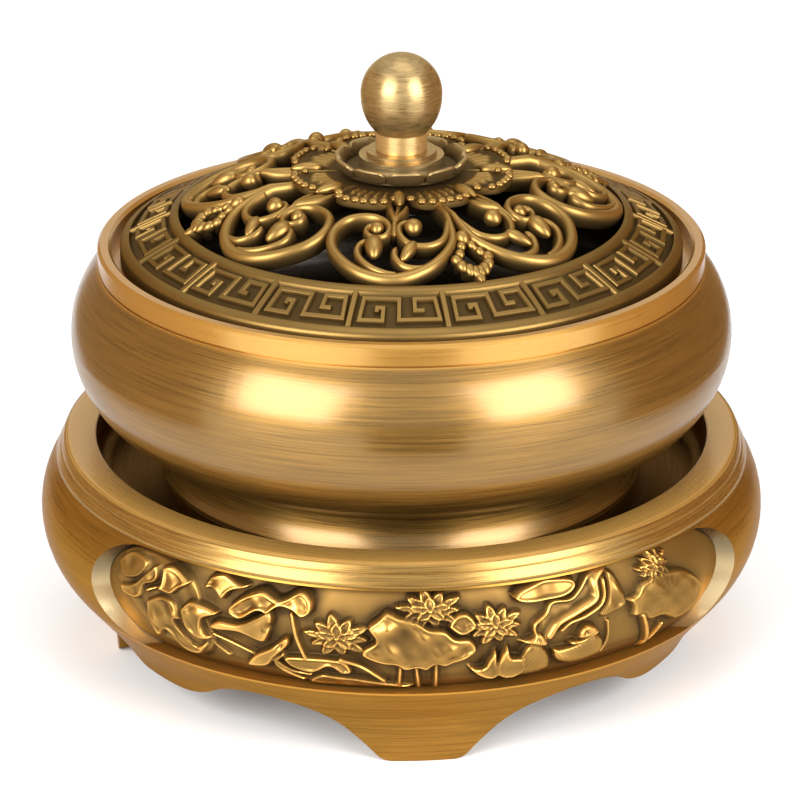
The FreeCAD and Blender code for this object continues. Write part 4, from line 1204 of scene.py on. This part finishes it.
class ScrollOperator(bpy.types.Operator):
    """Openwork of the lid: mirrored scrolls with buds, sprouts and hanging crowns, and the hub."""

    bl_idname = "burner.scrolls"
    bl_label = "Scrolls"

    def execute(self, context):
        lid = context.scene.burner_lid
        brass = context.scene.burner_brass
        dome = Dome(lid)
        material = aged_material(
            "scroll_brass", brass.bright, brass.patina_and_shade, reach=0.95, grain_scale=500.0)
        ribbons = Shape()
        buds = Shape()
        step = 360.0 / lid.scroll_pairs
        for pair in range(lid.scroll_pairs):
            for mirrored, beside in ((False, 0.0), (True, step / 2)):
                turn = math.degrees(lid.scroll_turn) + pair * step + beside
                for rise, lines in RIBBONS:
                    for line in lines:
                        self.ribbon(ribbons, dome, line, mirrored, turn, rise)
                for row in BUDS + ([] if mirrored else [CROWN_TOP]):
                    self.bud(buds, dome, row, mirrored, turn, lid.bud_growth)
        hub = Shape()
        lathe(hub, self.hub_profile(lid, dome), 96)
        piece("lid_scrolls", ribbons, material, "lid", "lid_brass", "lid", sharp=60)
        piece("lid_buds", buds, material, "lid", "lid_brass")
        piece("lid_hub", hub, material, "lid", "lid_brass", sharp=30)
        return {"FINISHED"}

    def ribbon(self, shape, dome, line, mirrored, turn, rise):
        """One stem, hook or leaf of a scroll."""
        angle, way_out, wide = np.array(line).T
        flat = dome.place(angle, way_out, mirrored, turn)
        path = smooth_line(np.column_stack((flat, wide)), 0.4)
        centres, ups = dome.lifted(path)
        swept(shape, centres, ups, path[:, 2] / 2, mirrored_section(SCROLL_HALF, SCROLL_TOP), rise)

    def bud(self, shape, dome, row, mirrored, turn, growth):
        """One egg-shaped bud, sunk a little into the scroll."""
        angle, way_out, half_width, half_length, lift, lean = row
        sunk = 0.15
        flat = dome.place([angle], [way_out], mirrored, turn)
        centres, ups = dome.lifted(flat)
        up = ups[0]
        outward = np.array((*(flat[0] / np.linalg.norm(flat[0])), 0.0))
        aside = np.cross(up, outward)
        aside /= np.linalg.norm(aside)
        along = np.cross(aside, up)
        bend = math.radians(-lean if mirrored else lean)
        leaning = along * math.cos(bend) + aside * math.sin(bend)
        across = np.cross(leaning, up)
        wide = half_width * growth
        ellipsoid(
            shape, centres[0] + up * (lift - sunk), across * wide, leaning * half_length * growth, up * wide)

    def hub_profile(self, lid, dome):
        """Plain disc under the petals, which the scrolls grow from."""
        top = dome.top
        low = top - lid.thickness / MM
        rim = dome.hub + 1.2
        return [
            (SCREW_HOLE, low, 0.8), (SCREW_HOLE, top - 0.1, 0.8), (rim - 0.5, top - 0.1, 0.8),
            (rim, top - 0.5, 0.7), (rim, low + 0.5, 1.0), (rim - 0.5, low, 1.0),
        ]


class RosetteOperator(bpy.types.Operator):
    """Lotus petals with ribs and beaded rims, and the cup of upright petals in their middle."""

    bl_idname = "burner.rosette"
    bl_label = "Rosette"

    def execute(self, context):
        lid = context.scene.burner_lid
        brass = context.scene.burner_brass
        flower = Shape()
        step = 2 * math.pi / lid.petals
        for number in range(lid.petals):
            self.petal(flower, lid.rosette_turn + (number + 0.5) * step, step, lid.petal_root / MM)
        flower_brass = aged_material(
            "petal_brass", brass.bright, brass.patina_and_shade, reach=0.9, grain_scale=600.0)
        piece("rosette_petals", flower, flower_brass, "lid", "lid_brass", "lotus_petals", sharp=70)
        cup = Shape()
        lathe(cup, self.cup_profile(), 96)
        step = 2 * math.pi / lid.cup_petals
        for number in range(lid.cup_petals):
            self.cup_petal(cup, lid.rosette_turn + (number + 0.1) * step, step)
        cup_brass = aged_material("cup_brass", brass.knob, brass.patina_and_shade, reach=0.8, grain_scale=600.0)
        piece("rosette_cup", cup, cup_brass, "lid", "knob_brass", "lotus_cup", sharp=50)
        return {"FINISHED"}

    def petal(self, shape, heading, step, root):
        """One petal of the flower: a ribbed plate with a raised rim, and a row of beads on the rim."""
        low = PETALS_LOW[2]
        reach = PETALS_HIGH[0]
        start = 6.0
        plate, rise, rib_height, lip_height = 0.45, 0.35, 0.55, 0.25
        bead_room = 0.45
        bead_wide, bead_long, bead_high = 0.72, 0.62, 0.50
        round_from = 0.30
        across = np.linspace(-1, 1, 61)[None, :]
        outward = np.linspace(0, 1, 30)[:, None]
        aside = np.clip((np.abs(across) - round_from) / (1 - round_from), 0, 1)
        rim = root + (reach - bead_room - root) * (1 - aside ** 2.4) ** 0.62
        radius = start + outward * (rim - start)
        angle = heading + across * step / 2 * 0.985
        ridge = np.cos(across * math.pi * 4.0) ** 2 * soft_step(0.62 - np.abs(across), 0.0, 0.05)
        ribs_end = soft_step(reach - 2.4 - radius - 2.0 * np.abs(across), 0.0, 0.9)
        ribs = ridge * soft_step(radius, 10.6, 11.4) * ribs_end
        lip = bell(rim - radius, 0.0, 0.75) * soft_step(radius, 8.5, 10.5)
        height = low + plate + rise * soft_step(radius, 11.0, reach) + rib_height * ribs + lip_height * lip
        recess = np.clip(0.92 - 1.05 * ribs - 1.0 * lip, 0, 1)
        points = around(radius, angle, height)
        edge = points[-1:].copy()
        edge[..., 2] = low - 0.1
        rows = np.vstack((points, edge))
        marks = np.vstack((recess, np.ones_like(recess[:1])))
        shape.add(rows, grid_faces(*rows.shape[:2]), marks)
        for share in np.linspace(-0.80, 0.80, 8):
            column = int(round((share + 1) / 2 * (across.shape[1] - 1)))
            centre = points[-2, column] + np.array((0, 0, 0.05))
            out = around(1.0, angle[0, column], 0.0)
            beside = np.array((-out[1], out[0], 0))
            up = np.array((0, 0, bead_high))
            ellipsoid(
                shape, centre, beside * bead_wide, out * bead_long, up, recess_low=0.6, rounds=12, rings=8)

    def cup_profile(self):
        """Foot and wall of the cup."""
        low = CUP_LOW[2]
        high = CUP_HIGH[2]
        return [
            (SCREW_HOLE, low, 1.0), (8.8, low, 1.0), (8.8, low + 0.25, 0.9), (6.7, low + 0.35, 0.9),
            (6.3, low + 0.7, 0.6), (6.3, high, 0.2), (SCREW_HOLE, high, 0.8),
        ]

    def cup_petal(self, shape, heading, step):
        """One upright petal of the cup, with rounded upper corners."""
        low = CUP_LOW[2]
        high = CUP_HIGH[2]
        section = [
            (8.3, low, 1.0), (8.9, low + 0.1, 0.8), (9.3, low + 0.5, 0.2), (9.75, high + 0.1, 0.0),
            (9.9, high + 0.45, 0.0), (9.75, high + 0.65, 0.0), (9.3, high + 0.6, 0.1), (8.9, high, 0.6),
            (8.3, low + 0.6, 1.0),
        ]
        corner_drop = 0.55
        corner_inset = 0.45
        half_share = 0.46
        across = np.linspace(-1, 1, 25)
        corner = np.abs(across) ** 5
        radius, height, dark = np.array(section).T[..., None]
        tall = np.where(height > low + corner_drop, height - corner_drop * corner, height)
        rows = around(radius - corner_inset * corner, heading + across * half_share * step, tall)
        count = len(across)
        faces = grid_faces(len(section), count, wrap_rows=True).tolist()
        faces.append([line * count for line in range(len(section))])
        faces.append([line * count + count - 1 for line in reversed(range(len(section)))])
        shape.add(rows, faces, np.clip(dark + 0.5 * corner, 0, 1))


class KnobOperator(bpy.types.Operator):
    """Turned brass on the knob, with its stem lightened as painted light."""

    bl_idname = "burner.knob"
    bl_label = "Knob"

    def execute(self, context):
        brass = context.scene.burner_brass
        material, graph, shader = brushed_metal(
            "knob_brass", brass.knob, brass.roughness, fineness=5200.0, breaks=2.5)
        height = graph.place()[2]
        # Painted light: the stem is lightened.
        stem_painted_light = graph.product(graph.under(height, STEM_TOP), graph.over(height, STEM_FOOT))
        colour = graph.mix(stem_painted_light, source(shader, "Base Color"), opaque(shaded(brass.knob, 1.9)))
        graph.feed(shader, Base_Color=colour)
        dress("knob", material)
        return {"FINISHED"}


class FixingOperator(bpy.types.Operator):
    """Steel on the screw and washer under the lid."""

    bl_idname = "burner.fixing"
    bl_label = "Screw and washer"

    def execute(self, context):
        steel = context.scene.burner_brass.steel
        material = brushed_metal("fixing_steel", steel, 0.35, fineness=3000.0, breaks=2.0)[0]
        dress("knob_screw", material)
        dress("knob_washer", material)
        return {"FINISHED"}


def blurred(field, steps):
    """The field averaged over a square of 2 * steps + 1 points."""
    width = 2 * steps + 1
    for axis in (0, 1):
        count = field.shape[axis]
        first = np.repeat(np.take(field, [0], axis), steps, axis)
        last = np.repeat(np.take(field, [-1], axis), steps, axis)
        total = np.cumsum(np.concatenate((first, field, last), axis), axis=axis)
        total = np.concatenate((np.zeros_like(np.take(total, [0], axis)), total), axis)
        ends = np.take(total, range(width, width + count), axis)
        field = (ends - np.take(total, range(count), axis)) / width
    return field


def patina_and_shade_of(height, pitch):
    """Share of patina and painted shade: more where the height lies below what is round it, as shade falls at
    the forms' edges; below 0 on proud edges.
    """
    near_reach, near_share = 0.34, 2.2
    far_reach, far_share = 1.9, 0.85
    level_patina = 0.50
    # The blurs darken the ground round each form's edge: painted shade, together with patina.
    near = blurred(height, max(1, int(near_reach / pitch)))
    far = blurred(height, max(2, int(far_reach / pitch)))
    return np.clip(level_patina + near_share * (near - height) + far_share * (far - height), -0.6, 1)


def box_round(along, up, line, margin):
    """Which points of the field lie in the box round a line, and their two coordinates."""
    low_x, low_z = line.min(0) - margin
    high_x, high_z = line.max(0) + margin
    near = (along > low_x) & (along < high_x) & (up > low_z) & (up < high_z)
    return near, along[near], up[near]


def form(along, up, outline, height, dome, rounding, lip, waves=0.0, dimples=(), veins=None, feathers=None):
    """A leaf, bank or bird part inside a smooth outline, rounded to its edge."""
    lip_inset = 0.42
    lip_width = 0.22
    line = smooth_line(outline + outline[:1], 0.25)
    near, x, z = box_round(along, up, line, 0.0)
    depth = np.full(len(x), FAR)
    inside = np.zeros(len(x), bool)
    for (start_x, start_z), (end_x, end_z) in zip(line, line[1:]):
        depth = np.minimum(depth, np.hypot(x - start_x, z - start_z))
        if start_z != end_z:
            crossing = start_x + (end_x - start_x) * (z - start_z) / (end_z - start_z)
            inside ^= ((start_z > z) != (end_z > z)) & (x < crossing)
    share = np.clip(depth / rounding, 0, 1)
    body = 1 - dome + dome * np.sqrt(1 - (1 - share) ** 2) + lip * bell(depth, lip_inset, lip_width)
    ripple = sum(part * np.sin(turn_x * x + turn_z * z + start) for turn_x, turn_z, start, part in LEAF_WAVES)
    body += waves * ripple * soft_step(depth, 0.3, 1.0)
    for dimple_x, dimple_z, reach, deep in dimples:
        body -= deep * np.exp(-((x - dimple_x) ** 2 + (z - dimple_z) ** 2) / reach ** 2)
    if veins:
        vein_x, vein_z, count = veins
        heading = np.arctan2(z - vein_z, x - vein_x)
        away = np.hypot(x - vein_x, z - vein_z)
        vein_height = 0.05
        vein_reach = 4.5
        rays = np.abs(np.cos(0.5 * count * heading)) ** 12
        body += vein_height * rays * soft_step(away, 0.5, 1.5) * soft_step(vein_reach - away, 0, 2)
    if feathers:
        lean, spacing, deep = feathers
        across = x * math.cos(math.radians(lean)) + z * math.sin(math.radians(lean))
        body += deep * np.cos(2 * math.pi * across / spacing)
    field = np.zeros_like(along)
    field[near] = height * body * inside * soft_step(depth, -0.05, 0.34)
    return field


def blossom_petal(along, up, x, z, length, wide, aim, height):
    """One pointed petal with a raised rim that starts at (x, z) and points to aim, in degrees."""
    aim = math.radians(aim)
    outward = (along - x) * math.cos(aim) + (up - z) * math.sin(aim)
    aside = (up - z) * math.cos(aim) - (along - x) * math.sin(aim)
    share = outward / length
    half = wide * np.sin(np.pi * np.clip(share, 0, 1) ** 1.1) ** 0.75 + 1e-6
    inner = 1 - np.abs(aside) / half
    inside = soft_step(inner, 0.0, 0.30) * (share > 0) * (share < 1)
    rim = bell(inner, 0.30, 0.24)
    return height * (0.50 + 0.40 * rim + 0.12 * share) * inside


def blossom(along, up, x, z, wide, tall, height):
    """An open lotus: a far row of petals, a nearer row and a tuft in the middle."""
    flat = z + (up - z) * wide / tall
    far_petals, far_turn, far_height = 10, -6, 0.75 * height
    near_petals, near_turn, near_length = 5, 20, 0.62 * wide
    petal_wide = 0.20 * wide
    tuft = 0.13 * wide
    field = np.zeros_like(along)
    for number in range(far_petals):
        aim = far_turn + number * 360 / far_petals
        length = wide * (1.0 if number % 2 else 0.86)
        far_petal = blossom_petal(along, flat, x, z, length, petal_wide, aim, far_height)
        field = np.maximum(field, far_petal)
    for number in range(near_petals):
        aim = near_turn + number * 360 / near_petals
        near_petal = blossom_petal(along, flat, x, z, near_length, petal_wide, aim, height)
        field = np.maximum(field, near_petal)
    middle = np.hypot(along - x, flat - z) / tuft
    return np.maximum(field, height * np.sqrt(np.clip(1 - middle ** 2, 0, 1)))


def stem(along, up, points, wide, height):
    """A round stalk through the given points."""
    path = smooth_line(points, 0.2)
    near, x, z = box_round(along, up, path, wide)
    best = np.full(len(x), FAR)
    for point_x, point_z in path:
        best = np.minimum(best, np.hypot(x - point_x, z - point_z))
    field = np.zeros_like(along)
    field[near] = height * np.sqrt(np.clip(1 - (2 * best / wide) ** 2, 0, 1))
    return field


def pond(along, up):
    """Height in mm of the relief over its ground; along runs round the panel, up is the height."""
    water_line = 18.5
    ground_height = 0.05
    ripple_height = 0.10
    ripples = 0.5 + 0.5 * np.cos(up * 3.1 + 0.5 * np.cos(along * 0.35))
    field = ground_height + ripple_height * ripples * soft_step(water_line - up, 0, 2)
    for wide, height, points in RELIEF_LINES:
        field = np.maximum(field, stem(along, up, points, wide, height))
    for place_and_size in RELIEF_BLOSSOMS:
        field = np.maximum(field, blossom(along, up, *place_and_size))
    for row in RELIEF_FORMS.values():
        field = np.maximum(field, form(along, up, **row))
    return field


class ReliefOperator(bpy.types.Operator):
    """Relief panels: a lotus pond with leaves, blossoms and a pair of ducks."""

    bl_idname = "burner.relief"
    bl_label = "Relief panels"

    def execute(self, context):
        relief = context.scene.burner_relief
        brass = context.scene.burner_brass
        material = aged_material(
            "relief_brass", brass.relief, shaded(brass.patina_and_shade, 1.5), reach=0.98, grain_scale=520.0,
            roughness_shift=-0.06)
        for side, turn in (("front", 0.0), ("back", math.pi)):
            shape = Shape()
            self.panel(shape, relief, turn)
            piece("relief_" + side, shape, material, "stand", "relief_brass", "relief_panel_" + side)
        return {"FINISHED"}

    def panel(self, shape, relief, turn):
        """One panel in the outline of its window: the relief, with an edge bent back at top and bottom."""
        low = PANEL_LOW[2]
        high = PANEL_HIGH[2]
        face = -PANEL_LOW[1]
        pitch = relief.pitch / MM
        half_tall = (high - low) / 2
        rows = int(2 * half_tall / pitch)
        up = np.linspace(low + 0.01, high - 0.01, rows)[:, None]
        ground = self.ground(relief, face, up)
        reach = np.sqrt(half_tall ** 2 - (up - (low + high) / 2) ** 2) - face * math.sin(relief.flare)
        end = relief.half_angle + relief.flare + np.arcsin(reach / ground)
        columns = int(2 * end.max() * face / pitch)
        share = np.linspace(-1, 1, columns)[None, :]
        heading = share * end
        up = up + np.zeros_like(heading)
        height = pond(heading * RELIEF_RADIUS, up) * relief.height
        from_edge = np.minimum(np.minimum(up - low, high - up), (1 - np.abs(share)) * end * face)
        height = blurred(height * soft_step(from_edge, 0.0, 0.5), 1)
        back = ground - relief.thickness / MM + 0.1 + 0 * share
        radius = np.vstack((back[:1], ground + height, back[-1:]))
        heading, up, hollow = (
            np.vstack((field[:1], field, field[-1:])) for field in (heading, up, patina_and_shade_of(height, pitch)))
        shape.add(around(radius, heading + turn, up), grid_faces(rows + 2, columns), hollow)

    def ground(self, relief, face, up):
        """Radius of the panel's ground at a height."""
        held = np.clip(up, relief.waist / MM, relief.shoulder / MM) - relief.bulge / MM
        curve = np.where(held < 0, relief.lower_curve, relief.upper_curve) / MM
        return face - curve + np.sqrt(curve ** 2 - held ** 2)


class StageOperator(bpy.types.Operator):
    """White floor, soft studio light and the camera."""

    bl_idname = "burner.stage"
    bl_label = "Stage"

    def execute(self, context):
        stage = context.scene.burner_stage
        self.floor()
        self.sky(context.scene, stage)
        for name, (place, wide, tall, share) in SOFTBOXES.items():
            self.softbox(name, place, wide, tall, stage.softbox_power * share)
        for name, (start, end, tall, colour) in FLAGS.items():
            self.flag(name, start, end, tall, colour)
        self.camera(context.scene, stage)
        return {"FINISHED"}

    def flat_object(self, name, points, material):
        """A flat object of one face."""
        mesh = bpy.data.meshes.new(name)
        mesh.from_pydata(points, [], [list(range(len(points)))])
        mesh.materials.append(material)
        made = bpy.data.objects.new(name, mesh)
        bpy.context.scene.collection.objects.link(made)
        return made

    def floor(self):
        """A round white floor."""
        material, graph, shader = new_material("floor_white")
        mottle = graph.group(cast_grain(), Scale=90.0)["Mottle"]
        colour = graph.mix(mottle, (0.93, 0.93, 0.93, 1), (0.96, 0.96, 0.96, 1))
        graph.feed(shader, Base_Color=colour, Roughness=0.9)
        points = []
        for turn in np.linspace(0, 2 * math.pi, 64, endpoint=False):
            points.append((FLOOR_RADIUS * math.cos(turn), FLOOR_RADIUS * math.sin(turn), CAD_BOX[0].z))
        floor = self.flat_object("floor", points, material)

    def sky(self, scene, stage):
        """Even light, which the camera and what shines see as white."""
        scene.world = bpy.data.worlds.new("studio")
        scene.world.use_nodes = True
        graph = Graph(scene.world.node_tree)
        path = graph.add("LightPath").outputs
        shining = graph.math("MAXIMUM", path["Is Glossy Ray"], path["Is Transmission Ray"])
        seen = graph.math("MAXIMUM", path["Is Camera Ray"], shining)
        strength = graph.span(seen, 0.0, 1.0, stage.sky, 1.0)
        graph.feed(scene.world.node_tree.nodes["Background"], Color=(1, 1, 1, 1), Strength=strength)

    def flag(self, name, start, end, tall, colour):
        """An upright card that only the burner's shine sees."""
        material, graph, shader = new_material(name)
        mottle = graph.group(cast_grain(), Scale=60.0)["Mottle"]
        mottled = graph.mix(mottle, opaque(colour), opaque(shaded(colour, 1.1)))
        graph.feed(shader, Base_Color=mottled, Roughness=0.95)
        low = CAD_BOX[0].z
        high = low + tall
        card = self.flat_object(name, [(*start, low), (*end, low), (*end, high), (*start, high)], material)
        card.visible_camera = False
        card.visible_diffuse = False
        card.visible_shadow = False

    def softbox(self, name, place, wide, tall, power):
        """A rectangular lamp that looks at the burner's middle."""
        lamp = bpy.data.lights.new(name, "AREA")
        lamp.shape = "RECTANGLE"
        lamp.size = wide
        lamp.size_y = tall
        lamp.energy = power
        made = bpy.data.objects.new(name, lamp)
        made.location = place
        middle = (CAD_BOX[0] + CAD_BOX[1]) / 2
        made.rotation_euler = (middle - Vector(place)).to_track_quat("-Z", "Y").to_euler()
        bpy.context.scene.collection.objects.link(made)

    def camera(self, scene, stage):
        """The camera at the photograph's place."""
        lens = bpy.data.cameras.new("camera")
        lens.lens = stage.lens
        lens.sensor_width = SENSOR_WIDTH
        lens.clip_start = 0.01
        lens.clip_end = 20.0
        made = bpy.data.objects.new("camera", lens)
        made.location = around(stage.distance, stage.azimuth, stage.height)
        made.rotation_euler = (math.pi / 2 - stage.pitch, 0.0, stage.azimuth + stage.yaw)
        scene.collection.objects.link(made)
        scene.camera = made
        scene.view_settings.view_transform = "Standard"


class BurnerPanel(bpy.types.Panel):
    """Lists the burner's pieces and settings in the sidebar."""

    bl_idname = "VIEW3D_PT_burner"
    bl_label = "Incense burner"
    bl_space_type = "VIEW_3D"
    bl_region_type = "UI"
    bl_category = "Burner"

    def draw(self, context):
        for operator in OPERATORS:
            self.layout.operator(operator.bl_idname)
        for group in SETTINGS:
            settings = getattr(context.scene, group)
            box = self.layout.box()
            for name in settings.bl_rna.properties.keys():
                if name not in ("rna_type", "name"):
                    box.prop(settings, name)


SETTINGS = {
    "burner_brass": BurnerBrass,
    "burner_lid": BurnerLid,
    "burner_relief": BurnerRelief,
    "burner_stage": BurnerStage,
}
OPERATORS = [
    StandOperator, ReliefOperator, BowlOperator, MatOperator, FretOperator, ScrollOperator, RosetteOperator,
    KnobOperator, FixingOperator, StageOperator,
]


def register():
    """Makes the settings, the operators and the panel known to Blender."""
    for made in [*SETTINGS.values(), *OPERATORS, BurnerPanel]:
        bpy.utils.register_class(made)
    for name, settings in SETTINGS.items():
        setattr(bpy.types.Scene, name, PointerProperty(type=settings))


def unregister():
    """Takes the settings, the operators and the panel out of Blender again."""
    for name in SETTINGS:
        delattr(bpy.types.Scene, name)
    for made in [BurnerPanel, *OPERATORS[::-1], *SETTINGS.values()]:
        bpy.utils.unregister_class(made)


def main():
    """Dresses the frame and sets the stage."""
    register()
    for operator in OPERATORS:
        group, name = operator.bl_idname.split(".")
        getattr(getattr(bpy.ops, group), name)()


if __name__ == "__main__":
    main()
